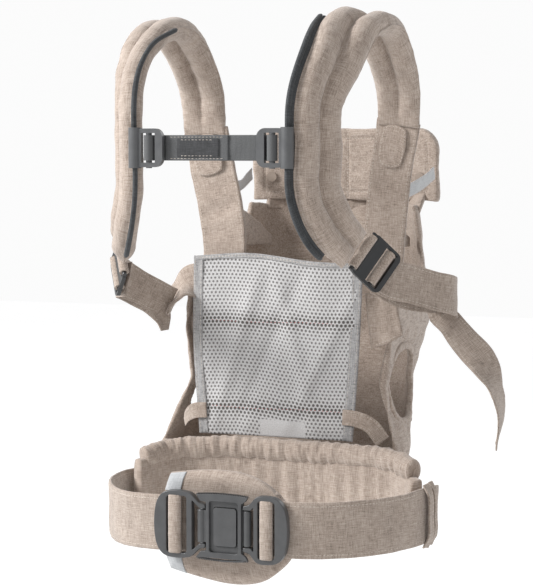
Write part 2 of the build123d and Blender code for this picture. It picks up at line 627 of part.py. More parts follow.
BUTTON_X = 23.0
BUTTON_WIDTH = 24.0
BUTTON_HEIGHT = 38.0
TEETH = 9
plate_centre = ((PLATE_LEFT + PLATE_RIGHT) / 2, 0)
with BuildPart() as plate:
    with BuildSketch(face_plane):
        with Locations(plate_centre):
            RectangleRounded(PLATE_RIGHT - PLATE_LEFT, 66, 4)
    extrude(amount=PLATE_DEPTH / 2, both=True)
    with BuildSketch(Plane.XY.offset(BUCKLE_Z - barrel_half)):
        with Locations((PIN_X, BUCKLE_Y)):
            Circle(5)
        with Locations(((PIN_X + PLATE_LEFT) / 2 + 1, BUCKLE_Y)):
            Rectangle(PLATE_LEFT - PIN_X + 2, 4)
    extrude(amount=BARREL_LENGTH)
    with BuildSketch(Plane.XY.offset(BUCKLE_Z - barrel_half)):
        with Locations((PIN_X, BUCKLE_Y)):
            Circle(PIN_RADIUS + 0.08)
    extrude(amount=BARREL_LENGTH, mode=Mode.SUBTRACT)
    with BuildSketch(face_plane):
        with Locations((BUTTON_X, 0)):
            RectangleRounded(BUTTON_WIDTH + 0.6, BUTTON_HEIGHT + 0.6, 3)
        for end in (33, -33):
            with Locations((plate_centre[0], end)):
                with GridLocations(3.6, 1, TEETH, 1):
                    Rectangle(1.4, 4)
    extrude(amount=PLATE_DEPTH / 2, both=True, mode=Mode.SUBTRACT)
save(plate, "waist_buckle_plate")
with BuildPart() as button:
    with BuildSketch(face_plane):
        with Locations((BUTTON_X, 0)):
            RectangleRounded(BUTTON_WIDTH, BUTTON_HEIGHT, 2.7)
    extrude(amount=PLATE_DEPTH / 2 - 0.4, both=True)
save(button, "waist_buckle_button")
for loop_label, slot_x in (("waist_loop_left", left_slot), ("waist_loop_right", right_slot)):
    with BuildPart() as loop:
        with BuildSketch(Plane.XY.offset(BUCKLE_Z)):
            with Locations((slot_x, BUCKLE_Y)):
                Circle(LOOP_RADIUS)
                Circle(LOOP_PIN + WRAP_GAP, mode=Mode.SUBTRACT)
        extrude(amount=WAIST_STRAP_WIDTH / 2, both=True)
    save(loop, loop_label)

# Front panel round the baby: a bucket with leg openings, open at the top and towards the mesh.
# Each level is a height, a middle, a half width and how far forward it reaches.
PANEL_LEVELS = (
    (52, -8, 128, 112),
    (98, -12, 140, 182),
    (176, -1, 113, 248),
    (232, 0, 122, 278),
    (290, 1, 114, 292),
    (SEAM_Z - 1, 0, 102, 298),
)
PANEL_CORNER = 52.0
LEG_CENTRE = (152, 172)  # forward and up
LEG_CUT_FROM = 62.0
REAR = 40.0  # the lofts start this far back, and are cut off at PANEL_BACK
with BuildPart() as front_panel:
    for height, middle, half, forward in PANEL_LEVELS:
        with BuildSketch(Plane.XY.offset(height)):
            with Locations((middle, (forward + REAR) / 2)):
                RectangleRounded(2 * half, forward - REAR, min(PANEL_CORNER, (forward - REAR) / 2 - 4))
    loft(ruled=True)
    for height, middle, half, forward in PANEL_LEVELS:
        base = height + PANEL_WALL if height == PANEL_LEVELS[0][0] else height
        base = base + 1 if height == PANEL_LEVELS[-1][0] else base
        deep = forward - PANEL_WALL - REAR
        with BuildSketch(Plane.XY.offset(base)):
            with Locations((middle, (forward - PANEL_WALL + REAR) / 2)):
                RectangleRounded(2 * (half - PANEL_WALL), deep, min(PANEL_CORNER - PANEL_WALL, deep / 2 - 4))
    loft(ruled=True, mode=Mode.SUBTRACT)
    with BuildSketch(Plane.XY.offset(0)):
        with Locations((0, PANEL_BACK / 2)):
            Rectangle(400, PANEL_BACK)
    extrude(amount=500, mode=Mode.SUBTRACT)
    with BuildSketch(Plane.YZ):
        with Locations(((PANEL_BACK + 240) / 2, (ARM_Z + 400) / 2)):
            Rectangle(240 - PANEL_BACK + 2, 400 - ARM_Z)
    extrude(amount=200, both=True, mode=Mode.SUBTRACT)
    for leg_side in (1, -1):
        with BuildSketch(Plane.YZ.offset(leg_side * LEG_CUT_FROM)):
            with Locations(LEG_CENTRE):
                RectangleRounded(88, 84, 34)
        extrude(amount=leg_side * 140, mode=Mode.SUBTRACT)
save(front_panel, "front_panel")

# Side flaps inside the panel, from the front straps to the panel's front
LEFT_FLAP = [
    ((-60, 104, 345), (-1, 0, 0), 44),
    ((-68, 180, 334), (-1, -0.1, 0), 28),
    ((-84, 268, 322), (-1, -0.2, 0), 12),
]
RIGHT_FLAP = [
    ((98, 108, 345), (1, 0, 0), 44),
    ((95, 180, 334), (1, -0.1, 0), 28),
    ((88, 268, 322), (1, -0.2, 0), 12),
]
flat_strap("side_flap_left", LEFT_FLAP, 3)
flat_strap("side_flap_right", RIGHT_FLAP, 3)

# Head support: a curved padded plate that folds outwards along its lower seam
HEAD_X = 6.0
HEAD_HALF = 114.0
HEAD_FRONT = 298.0
HEAD_SWEEP = 16.0  # how far its sides fall back
HEAD_CORNER = 28.0


def head_outline(half, front, thickness, sweep):
    """A shallow arc in plan, of even thickness."""
    with BuildSketch(Plane.XY) as plan:
        with BuildLine():
            near = front - thickness
            left, right = HEAD_X - half, HEAD_X + half
            outer = ThreePointArc((left, front - sweep), (HEAD_X, front), (right, front - sweep))
            inner = ThreePointArc((left, near - sweep), (HEAD_X, near), (right, near - sweep))
            Line(outer @ 0, inner @ 0)
            Line(outer @ 1, inner @ 1)
        make_face()
    return plan.sketch


head_base = SEAM_Z + 2
with BuildPart() as head_cover:
    with BuildSketch(Plane.XY.offset(head_base)):
        add(head_outline(HEAD_HALF + 6, HEAD_FRONT, HEAD_THICKNESS, HEAD_SWEEP * 1.1))
    extrude(amount=HEAD_HEIGHT)
    with BuildSketch(Plane.XZ):
        with Locations((HEAD_X, head_base + HEAD_HEIGHT / 2 - HEAD_CORNER)):
            RectangleRounded(2 * HEAD_HALF, HEAD_HEIGHT + 2 * HEAD_CORNER, HEAD_CORNER)
    extrude(amount=-400, mode=Mode.INTERSECT)
    with BuildSketch(Plane.XY.offset(head_base + 8)):
        add(head_outline(HEAD_HALF - 22, HEAD_FRONT - 2, HEAD_THICKNESS - 4, HEAD_SWEEP * 0.66))
    extrude(amount=HEAD_HEIGHT - 16, mode=Mode.SUBTRACT)
save(head_cover, "head_support_cover")
with BuildPart() as head_core:
    with BuildSketch(Plane.XY.offset(head_base + 8 + CORE_GAP)):
        core_thickness = HEAD_THICKNESS - 4 - 2 * CORE_GAP
        add(head_outline(HEAD_HALF - 22.5, HEAD_FRONT - 2 - CORE_GAP, core_thickness, HEAD_SWEEP * 0.655))
    extrude(amount=HEAD_HEIGHT - 16 - 2 * CORE_GAP)
save(head_core, "head_support_foam")

# Press studs on the wearer's side of the head support and of the panel's corner
STUD_RADIUS = 6.0
STUD_HEIGHT = 2.5
STUD_X = 92.0
STUD_Z = 396.0
arc_radius = (HEAD_HALF**2 + HEAD_SWEEP**2) / (2 * HEAD_SWEEP)
stud_lean = STUD_X / arc_radius
stud_sag = arc_radius - (arc_radius**2 - STUD_X**2) ** 0.5
stud_y = HEAD_FRONT - HEAD_THICKNESS - stud_sag - CLEAR
for stud_label, stud_side in (("head_stud_left", -1), ("head_stud_right", 1)):
    stud_facing = (-stud_side * stud_lean, -((1 - stud_lean**2) ** 0.5), 0)
    with BuildPart() as head_stud:
        with BuildSketch(Plane(origin=(HEAD_X + stud_side * STUD_X, stud_y, STUD_Z), z_dir=stud_facing)):
            Circle(STUD_RADIUS)
        extrude(amount=STUD_HEIGHT)
    save(head_stud, stud_label)

# Reflective straps from the front straps to the corners of the head support
REFLECT_WIDTH = 14.0
LEFT_REFLECT = [
    ((-62, 106, 388), (-1, 0, 0.2), REFLECT_WIDTH),
    ((-84, 170, 388), (-1, -0.2, 0.2), REFLECT_WIDTH),
    ((-100, 230, 394), (-1, -0.2, 0), REFLECT_WIDTH),
    ((-107, 264, 400), (-1, -0.2, 0), REFLECT_WIDTH),
]
RIGHT_REFLECT = [
    ((112, 110, 380), (1, 0, 0.2), REFLECT_WIDTH),
    ((116, 170, 384), (1, -0.1, 0.2), REFLECT_WIDTH),
    ((118, 230, 394), (1, -0.1, 0), REFLECT_WIDTH),
    ((118, 264, 402), (1, -0.1, 0), REFLECT_WIDTH),
]
flat_strap("reflective_strap_left", LEFT_REFLECT, 1.2)
flat_strap("reflective_strap_right", RIGHT_REFLECT, 1.2)
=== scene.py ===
import math

import bpy
import numpy as np
from mathutils import Matrix, Vector
from mathutils.kdtree import KDTree


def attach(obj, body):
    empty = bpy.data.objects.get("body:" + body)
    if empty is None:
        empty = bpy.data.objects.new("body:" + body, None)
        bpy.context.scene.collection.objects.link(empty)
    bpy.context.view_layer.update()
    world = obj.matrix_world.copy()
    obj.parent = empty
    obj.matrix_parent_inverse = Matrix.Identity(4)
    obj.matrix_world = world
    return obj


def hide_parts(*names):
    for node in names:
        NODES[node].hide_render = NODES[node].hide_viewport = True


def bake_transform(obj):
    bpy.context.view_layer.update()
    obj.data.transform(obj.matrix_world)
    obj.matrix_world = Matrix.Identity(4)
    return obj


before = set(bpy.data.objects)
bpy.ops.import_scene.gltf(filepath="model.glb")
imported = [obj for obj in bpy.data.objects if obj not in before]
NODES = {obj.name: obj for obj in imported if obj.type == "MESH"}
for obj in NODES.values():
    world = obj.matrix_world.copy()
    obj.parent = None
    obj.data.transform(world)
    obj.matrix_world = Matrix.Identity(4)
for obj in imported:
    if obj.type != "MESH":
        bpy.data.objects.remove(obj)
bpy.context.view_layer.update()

# Lengths in this script are millimetres; MM turns them into the metres of the row frame.
MM = 0.001


# ---- numbers
def unit(v):
    v = np.asarray(v, float)
    return v / np.maximum(np.linalg.norm(v, axis=-1, keepdims=True), 1e-9)


def ripple(u, v, seed, scale):
    """A smooth, repeatable unevenness of about -1 to 1. scale is the distance between its folds."""
    total = 0.0
    for k in range(6):
        turn = 2.399 * k + 1.7 * seed
        wave = 2 * math.pi / (scale * (0.7 + 0.16 * ((k * 5 + seed * 3) % 6)))
        total = total + np.sin(wave * (u * math.cos(turn) + v * math.sin(turn)) + 1.3 * k * k + seed)
    return total / 3.2


def bump(x, centre, width):
    return np.exp(-(((x - centre) / width) ** 2))


def travel(points):
    """How far along a row of points each one lies."""
    return np.concatenate([[0], np.cumsum(np.linalg.norm(np.diff(points, axis=0), axis=1))])


def columns(x, y, z):
    return np.stack([x, y, z], axis=1)


def smooth_rows(rows, count):
    """A smooth line through the rows, sampled evenly along it."""
    p = np.array(rows, float)
    t = travel(p[:, :3])
    m = np.gradient(p, t, axis=0) if len(p) > 2 else np.repeat((p[1:] - p[:1]) / t[1], 2, axis=0)
    at = np.linspace(0, t[-1], count)
    i = np.clip(np.searchsorted(t, at, side="right") - 1, 0, len(t) - 2)
    h = (t[i + 1] - t[i])[:, None]
    x = (at - t[i])[:, None] / h
    return (
        (2 * x**3 - 3 * x**2 + 1) * p[i]
        + (x**3 - 2 * x**2 + x) * h * m[i]
        + (3 * x**2 - 2 * x**3) * p[i + 1]
        + (x**3 - x**2) * h * m[i + 1]
    )


# ---- meshes
def add(name, data):
    obj = bpy.data.objects.new(name, data)
    bpy.context.scene.collection.objects.link(obj)
    return obj


def smooth(mesh):
    mesh.polygons.foreach_set("use_smooth", [True] * len(mesh.polygons))


def per_vertex(mesh, field):
    """A vertex field of three numbers as an array with a row for each vertex."""
    values = np.empty(len(mesh.vertices) * 3, dtype=np.float32)
    mesh.vertices.foreach_get(field, values)
    return values.reshape(-1, 3)


def facing_back(width, *places):
    """Stations of one width that all face straight back."""
    return [(place, (0, -1, 0), width) for place in places]


def make(name, points, faces, uv=None):
    mesh = bpy.data.meshes.new(name)
    mesh.from_pydata([tuple(p) for p in np.asarray(points) * MM], [], faces)
    mesh.update()
    if uv is not None:
        layer = mesh.uv_layers.new(name="UVMap")
        loops = np.empty(len(mesh.loops), dtype=np.int32)
        mesh.loops.foreach_get("vertex_index", loops)
        layer.data.foreach_set("uv", (np.asarray(uv)[loops] * 0.1).astype(np.float32).ravel())
    smooth(mesh)
    return add(name, mesh)


def joined_rings(rings, count):
    """Quads that join each ring of count points to the next one."""
    faces = []
    for r in range(rings - 1):
        for k in range(count):
            q = (k + 1) % count
            faces.append((r * count + k, r * count + q, (r + 1) * count + q, (r + 1) * count + k))
    return faces


class Line:
    """A route with a frame at each sample: point, along, facing, across, width and distance."""

    def __init__(self, stations, step=2.5):
        rows = [(*s[0], *unit(s[1]), s[2]) for s in stations]
        rough = np.array([r[:3] for r in rows])
        span = np.linalg.norm(np.diff(rough, axis=0), axis=1).sum()
        count = max(8, int(span / (step * 1)))
        samples = smooth_rows(rows, count)
        self.point = samples[:, :3]
        self.along = unit(np.gradient(self.point, axis=0))
        facing = samples[:, 3:6]
        facing = facing - (facing * self.along).sum(1, keepdims=True) * self.along
        self.facing = unit(facing)
        self.across = np.cross(self.along, self.facing)
        self.width = samples[:, 6]
        self.far = travel(self.point)
        self.length = self.far[-1]

    def at(self, far, a, out=0.0):
        """A point on the route: far along it, a from -1 to 1 across it, out along its facing."""
        pick = [np.interp(far, self.far, column) for column in self.point.T]
        cross = [np.interp(far, self.far, column) for column in self.across.T]
        face = [np.interp(far, self.far, column) for column in self.facing.T]
        half = np.interp(far, self.far, self.width) / 2
        return np.array(pick) + np.array(cross) * half * a + np.array(face) * out


def strip(name, line, thickness, around, edge, shift=None, profile=None):
    """A closed strip of fabric or a pad along a line. profile(far, a) multiplies its thickness and
    shift(far, a) moves it out of its plane, in mm."""
    around = around
    top = -np.cos(np.linspace(0, math.pi, around + 1))
    a = np.concatenate([top, top[::-1]])
    side = np.concatenate([np.ones(around + 1), -np.ones(around + 1)])
    b = side * np.maximum(1 - np.abs(a) ** edge, 0) ** (1 / edge)
    ends = [(0.0, 0.0), (0.35, 0.7), (1.0, 1.0)]
    rings, uv = [], []
    n = len(line.far)
    order = [(0, k) for k in range(2)] + [(i, 2) for i in range(n)] + [(n - 1, k) for k in (1, 0)]
    for i, cap in order:
        inset, flat = ends[cap]
        out = -1 if i == 0 else 1
        far = np.full(len(a), line.far[i])
        half = line.width[i] / 2
        thick = thickness * flat * (profile(far, a) if profile else 1.0)
        lift = shift(far, a) if shift else 0.0
        base = line.point[i] + line.along[i] * out * (1 - inset) * min(thickness, 3) / 2
        ring = (
            base
            + line.across[i] * (a * half)[:, None]
            + line.facing[i] * (b * thick / 2 + lift)[:, None]
        )
        rings.append(ring)
        uv.append(np.stack([far, a * half + 100 * (side < 0)], axis=1))
    points = np.concatenate(rings)
    m = len(a)
    faces = joined_rings(len(rings), m)
    last = (len(rings) - 1) * m
    for k in range(around):
        faces.append((m - 1 - k, m - 2 - k, k + 1, k))
        faces.append((last + k, last + k + 1, last + m - 2 - k, last + m - 1 - k))
    return make(name, points, faces, np.concatenate(uv))


def tube(name, line, radius, around, swell):
    """A round bead along a line. swell(far, angle) adds to its radius."""
    turns = np.linspace(0, 2 * math.pi, around, endpoint=False)
    points, uv = [], []
    n = len(line.far)
    for i in range(n):
        r = radius + swell(line.far[i], turns) + 0 * turns
        if i in (0, n - 1):
            r = r * 0.6
        points.append(
            line.point[i]
            + line.across[i] * (np.cos(turns) * r)[:, None]
            + line.facing[i] * (np.sin(turns) * r)[:, None]
        )
        uv.append(np.stack([np.full(around, line.far[i]), turns * radius], axis=1))
    points = np.concatenate(points)
    faces = joined_rings(n, around)
    faces.append(tuple(range(around))[::-1])
    faces.append(tuple((n - 1) * around + k for k in range(around)))
    return make(name, points, faces, np.concatenate(uv))


def plate(name, surface, nu, nv, thickness):
    """A closed sheet. surface(u, v) gives points for u and v from 0 to 1, thickness(u, v) its thickness."""
    nu, nv = ((nu, nv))
    u, v = np.meshgrid(np.linspace(0, 1, nu), np.linspace(0, 1, nv), indexing="ij")
    mid = surface(u, v)
    du = np.gradient(mid, axis=0)
    dv = np.gradient(mid, axis=1)
    normal = unit(np.cross(du, dv))
    half = (thickness(u, v) / 2)[..., None]
    points = np.concatenate([(mid + normal * half).reshape(-1, 3), (mid - normal * half).reshape(-1, 3)])
    fu = np.cumsum(np.linalg.norm(du, axis=-1), axis=0)
    fv = np.cumsum(np.linalg.norm(dv, axis=-1), axis=1)
    uv = np.stack([fu, fv], axis=-1).reshape(-1, 2)
    uv = np.concatenate([uv, uv + [0, 1000]])
    count = nu * nv
    faces = []
    for i in range(nu - 1):
        for j in range(nv - 1):
            a, b, c, d = i * nv + j, (i + 1) * nv + j, (i + 1) * nv + j + 1, i * nv + j + 1
            faces.append((a, b, c, d))
            faces.append((d + count, c + count, b + count, a + count))
    rim = [i * nv for i in range(nu)] + [(nu - 1) * nv + j for j in range(1, nv)]
    rim += [i * nv + nv - 1 for i in range(nu - 2, -1, -1)] + [j for j in range(nv - 2, 0, -1)]
    for k, here in enumerate(rim):
        there = rim[(k + 1) % len(rim)]
        faces.append((here, here + count, there + count, there))
    return make(name, points, faces, uv)


def soften(name, node, voxel, passes, folds, seed, fold_size):
    """A soft piece of a CAD node's shape: remeshed, smoothed and lightly creased."""
    obj = add(name, NODES[node].data.copy())
    bpy.context.view_layer.objects.active = obj
    remesh = obj.modifiers.new("remesh", "REMESH")
    remesh.mode = "VOXEL"
    remesh.voxel_size = voxel * MM * 1
    relax = obj.modifiers.new("relax", "SMOOTH")
    relax.iterations = passes
    relax.factor = 0.5
    with bpy.context.temp_override(object=obj, active_object=obj, selected_objects=[obj]):
        bpy.ops.object.modifier_apply(modifier="remesh")
        bpy.ops.object.modifier_apply(modifier="relax")
    mesh = obj.data
    at = per_vertex(mesh, "co") / MM
    normal = per_vertex(mesh, "normal")
    lift = folds * ripple(at[:, 0] + 0.6 * at[:, 1], at[:, 2] - 0.3 * at[:, 1], seed, fold_size)
    lift = lift + 0.35 * folds * ripple(at[:, 0] - at[:, 1], at[:, 2], seed + 4, fold_size / 3)
    mesh.vertices.foreach_set("co", ((at + normal * lift[:, None]) * MM).astype(np.float32).ravel())
    mesh.update()
    mesh.materials.clear()
    smooth(mesh)
    return obj


def lay_on(obj, path, lift=0.15):
    """The path moved onto the surface of obj."""
    laid = []
    for point in path:
        hit, where, normal, _ = obj.closest_point_on_mesh(Vector(point) * MM)
        laid.append(np.array(where + normal * lift * MM) / MM if hit else np.array(point))
    return laid


def press_seam(obj, paths, width, depth):
    """Draws obj in along sewn lines."""
    samples = []
    for path in paths:
        route = np.asarray(path, float)
        t = travel(route)
        samples += [[np.interp(f, t, c) for c in route.T] for f in np.arange(0, t[-1], 1.5)]
    tree = KDTree(len(samples))
    for k, sample in enumerate(samples):
        tree.insert(Vector(sample), k)
    tree.balance()
    for vertex in obj.data.vertices:
        gap = tree.find(vertex.co / MM)[2]
        if gap < 3 * width:
            vertex.co -= vertex.normal * (depth * math.exp(-((gap / width) ** 2)) * MM)
    obj.data.update()


def threads(name, paths, length=2.6, gap=1.2, thick=0.28):
    """Rows of stitches. Each path is a list of points on the fabric's surface."""
    points, faces = [], []
    for path in paths:
        p = np.asarray(path, float)
        t = travel(p)
        far = gap
        while far + length < t[-1]:
            places = (far, far + length / 2, far + length)
            ends = [np.array([np.interp(f, t, c) for c in p.T]) for f in places]
            along = unit(ends[2] - ends[0])
            side = unit(np.cross(along, (0.31, 0.22, 0.93)))
            other = np.cross(along, side)
            start = len(points)
            for k, (centre, r) in enumerate(zip(ends, (0.4, 1.0, 0.4))):
                for q in range(4):
                    turn = q * math.pi / 2
                    points.append(centre + (side * math.cos(turn) + other * math.sin(turn)) * thick * r)
            for k in range(2):
                for q in range(4):
                    n = (q + 1) % 4
                    low, high = start + 4 * k, start + 4 * k + 4
                    faces.append((low + q, low + n, high + n, high + q))
            faces.append((start + 3, start + 2, start + 1, start))
            faces.append((start + 8, start + 9, start + 10, start + 11))
            far += length + gap
    return make(name, points, faces)


# ---- materials
def nodes_of(name):
    material = bpy.data.materials.new(name)
    material.use_nodes = True
    tree = material.node_tree
    shader = tree.nodes["Principled BSDF"]
    return material, tree, shader


def surface_finish(shader, rough, specular, sheen=0.0):
    shader.inputs["Roughness"].default_value = rough
    shader.inputs["Specular IOR Level"].default_value = specular
    shader.inputs["Sheen Weight"].default_value = sheen


def noise(tree, where, scale, detail=4.0, stretch=(1, 1, 1)):
    mapping = tree.nodes.new("ShaderNodeMapping")
    mapping.inputs["Scale"].default_value = stretch
    tree.links.new(where, mapping.inputs["Vector"])
    node = tree.nodes.new("ShaderNodeTexNoise")
    node.inputs["Scale"].default_value = scale
    node.inputs["Detail"].default_value = detail
    node.inputs["Roughness"].default_value = 0.6
    tree.links.new(mapping.outputs["Vector"], node.inputs["Vector"])
    return node.outputs["Fac"]


def maths(tree, kind, first, second=None, third=None):
    node = tree.nodes.new("ShaderNodeMath")
    node.operation = kind
    for slot, value in enumerate((first, second, third)):
        if value is None:
            continue
        if isinstance(value, (int, float)):
            node.inputs[slot].default_value = value
        else:
            tree.links.new(value, node.inputs[slot])
    return node.outputs[0]


def ramp(tree, value, stops):
    node = tree.nodes.new("ShaderNodeValToRGB")
    while len(node.color_ramp.elements) < len(stops):
        node.color_ramp.elements.new(0.5)
    for element, (place, colour) in zip(node.color_ramp.elements, stops):
        element.position = place
        element.color = (*colour, 1)
    tree.links.new(value, node.inputs["Fac"])
    return node.outputs["Color"]


def raise_with(tree, shader, height, strength, distance):
    node = tree.nodes.new("ShaderNodeBump")
    node.inputs["Strength"].default_value = strength
    node.inputs["Distance"].default_value = distance
    tree.links.new(height, node.inputs["Height"])
    tree.links.new(node.outputs["Normal"], shader.inputs["Normal"])


def coordinates(tree, mapped):
    """UV coordinates are centimetres along and across the piece; object ones are scaled to match."""
    node = tree.nodes.new("ShaderNodeTexCoord")
    if mapped:
        return node.outputs["UV"]
    scale = tree.nodes.new("ShaderNodeMapping")
    scale.inputs["Scale"].default_value = (100, 100, 100)
    tree.links.new(node.outputs["Object"], scale.inputs["Vector"])
    return scale.outputs["Vector"]


def fabric(name, dark, middle, light, mapped=True, sheen=0.25, weave=1.0):
    """A melange plain weave: slubs both ways, a fine grain and a slight haze."""
    material, tree, shader = nodes_of(name)
    where = coordinates(tree, mapped)
    slub_u = noise(tree, where, 1.6, stretch=(0.6, 7, 7))
    slub_v = noise(tree, where, 1.6, stretch=(7, 0.6, 3))
    grain = noise(tree, where, 16, 3)
    cloud = noise(tree, where, 0.35, 2)
    both = maths(tree, "ADD", slub_u, slub_v)
    mix = maths(tree, "MULTIPLY_ADD", both, 0.34, maths(tree, "MULTIPLY", grain, 0.32))
    total = maths(tree, "MULTIPLY_ADD", cloud, 0.12, maths(tree, "SUBTRACT", mix, 0.06))
    colour = ramp(tree, total, [(0.39, dark), (0.5, middle), (0.62, light)])
    tree.links.new(colour, shader.inputs["Base Color"])
    surface_finish(shader, 0.92, 0.2, sheen)
    shader.inputs["Sheen Roughness"].default_value = 0.6
    raise_with(tree, shader, maths(tree, "ADD", both, grain), 0.35 * weave, 0.0006)
    return material


def ribbed(name, dark, light, pitch):
    """Webbing with fine ribs across the strap."""
    material, tree, shader = nodes_of(name)
    where = coordinates(tree, True)
    split = tree.nodes.new("ShaderNodeSeparateXYZ")
    tree.links.new(where, split.inputs[0])
    ribs = maths(tree, "SINE", maths(tree, "MULTIPLY", split.outputs["X"], 62.8 / pitch))
    grain = noise(tree, where, 14, 3)
    total = maths(tree, "MULTIPLY_ADD", ribs, 0.12, grain)
    colour = ramp(tree, total, [(0.35, dark), (0.66, light)])
    tree.links.new(colour, shader.inputs["Base Color"])
    surface_finish(shader, 0.8, 0.25, 0.15)
    raise_with(tree, shader, total, 0.5, 0.0005)
    return material


def moulded(name, dark, light, rough):
    """Moulded plastic with a faint grain and uneven gloss."""
    material, tree, shader = nodes_of(name)
    where = coordinates(tree, False)
    grain = noise(tree, where, 30, 2)
    cloud = noise(tree, where, 0.8, 3)
    total = maths(tree, "MULTIPLY_ADD", cloud, 0.7, maths(tree, "MULTIPLY", grain, 0.3))
    tree.links.new(ramp(tree, total, [(0.3, dark), (0.7, light)]), shader.inputs["Base Color"])
    gloss = maths(tree, "MULTIPLY_ADD", cloud, 0.16, rough - 0.08)
    tree.links.new(gloss, shader.inputs["Roughness"])
    raise_with(tree, shader, grain, 0.08, 0.0003)
    return material


def spacer_mesh():
    """Knitted spacer mesh: staggered round holes, some rows larger, over a soft grey-white knit. The holes
    are painted near black as painted shade for the shaded cloth seen through them, darker still in the
    larger rows.
    """
    material, tree, shader = nodes_of("spacer_mesh")
    where = coordinates(tree, True)
    split = tree.nodes.new("ShaderNodeSeparateXYZ")
    tree.links.new(where, split.inputs[0])
    x, y = split.outputs["X"], split.outputs["Y"]
    pitch = 0.46
    row_pitch = pitch * 0.87

    def calc(kind, *values):
        return maths(tree, kind, *values)

    row = calc("FLOOR", calc("DIVIDE", y, row_pitch))
    odd = calc("MULTIPLY", calc("MODULO", row, 2), pitch / 2)
    u = calc("FRACT", calc("DIVIDE", calc("ADD", x, odd), pitch))
    v = calc("FRACT", calc("DIVIDE", y, row_pitch))
    du = calc("SUBTRACT", u, 0.5)
    dv = calc("MULTIPLY", calc("SUBTRACT", v, 0.5), 0.87)
    squares = calc("MULTIPLY", du, du), calc("MULTIPLY", dv, dv)
    far = calc("SQRT", calc("ADD", *squares))
    big = tree.nodes.new("ShaderNodeAttribute")
    big.attribute_name = "open"
    edge = calc("MULTIPLY_ADD", big.outputs["Fac"], 0.09, 0.265)
    inside = calc("SUBTRACT", edge, far)
    hole = calc("MULTIPLY", inside, 10)
    hole = calc("MINIMUM", calc("MAXIMUM", calc("ADD", hole, 0.5), 0.0), 1.0)
    solid = tree.nodes.new("ShaderNodeAttribute")
    solid.attribute_name = "plain"
    hole = calc("MULTIPLY", hole, calc("SUBTRACT", 1.0, solid.outputs["Fac"]))
    grain = noise(tree, where, 9, 3)
    base = ramp(tree, grain, [(0.3, (0.40, 0.395, 0.395)), (0.7, (0.60, 0.592, 0.592))])
    mix = tree.nodes.new("ShaderNodeMix")
    mix.data_type = "RGBA"
    # Painted shade: the holes are mixed towards a near-black colour, more strongly in the larger rows, in
    # place of the shade seen through them.
    depth = calc("MULTIPLY_ADD", big.outputs["Fac"], 0.2, 0.72)
    tree.links.new(calc("MULTIPLY", hole, depth), mix.inputs["Factor"])
    tree.links.new(base, mix.inputs["A"])
    mix.inputs["B"].default_value = (0.055, 0.048, 0.042, 1)
    tree.links.new(mix.outputs["Result"], shader.inputs["Base Color"])
    surface_finish(shader, 0.85, 0.25, 0.2)
    height = calc("SUBTRACT", calc("MULTIPLY", grain, 0.15), hole)
    raise_with(tree, shader, height, 0.7, 0.0012)
    return material


SAND = ((0.185, 0.142, 0.114), (0.36, 0.292, 0.244), (0.51, 0.432, 0.374))
CLOTH = fabric("cloth", *SAND)
CLOTH_BODY = fabric("cloth_body", *SAND, mapped=False)
DARKER_SAND = ((0.175, 0.136, 0.109), (0.345, 0.281, 0.235), (0.495, 0.421, 0.364))
STRAP = fabric("strap_cloth", *DARKER_SAND, weave=1.3)
STRAP_BODY = fabric("strap_body", *DARKER_SAND, mapped=False)
EDGE_GREY = ((0.15, 0.147, 0.147), (0.33, 0.325, 0.325), (0.50, 0.495, 0.495))
EDGE_CLOTH = fabric("mesh_edge", *EDGE_GREY, sheen=0.1)
PIPING = fabric("piping", (0.028, 0.029, 0.031), (0.05, 0.053, 0.056), (0.095, 0.10, 0.105), sheen=0.08)
RED = fabric("red_thread", (0.25, 0.02, 0.02), (0.4, 0.035, 0.035), (0.5, 0.06, 0.06), mapped=False)
THREAD = fabric("thread", (0.45, 0.39, 0.33), (0.62, 0.55, 0.48), (0.75, 0.69, 0.62), mapped=False)
GREY_WEBBING = ribbed("grey_webbing", (0.06, 0.061, 0.063), (0.135, 0.138, 0.14), 1.3)
LABEL = fabric("label_cloth", (0.03, 0.03, 0.032), (0.045, 0.046, 0.048), (0.075, 0.076, 0.08), sheen=0.1)
TAPE_GREY = ((0.32, 0.33, 0.34), (0.42, 0.43, 0.44), (0.52, 0.53, 0.54))
REFLECTIVE = fabric("reflective_tape", *TAPE_GREY, sheen=0.3)
MESH = spacer_mesh()
BUCKLE = moulded("buckle_plastic", (0.05, 0.051, 0.053), (0.075, 0.076, 0.078), 0.34)
SLIDER = moulded("slider_plastic", (0.075, 0.077, 0.08), (0.105, 0.107, 0.11), 0.36)
LADDER = moulded("ladder_plastic", (0.012, 0.013, 0.014), (0.024, 0.025, 0.027), 0.36)
SNAP = moulded("snap_plastic", (0.24, 0.19, 0.155), (0.33, 0.27, 0.225), 0.4)
STEEL = moulded("pin_steel", (0.35, 0.35, 0.36), (0.5, 0.5, 0.51), 0.3)
STEEL.node_tree.nodes["Principled BSDF"].inputs["Metallic"].default_value = 1.0


def finish_piece(obj, material, slot, body, *nodes):
    """Gives a piece its finish and body, and hides the CAD nodes it stands for."""
    obj.data.materials.clear()
    obj.data.materials.append(material)
    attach(obj, body)
    if nodes:
        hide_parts(*nodes)
    return obj


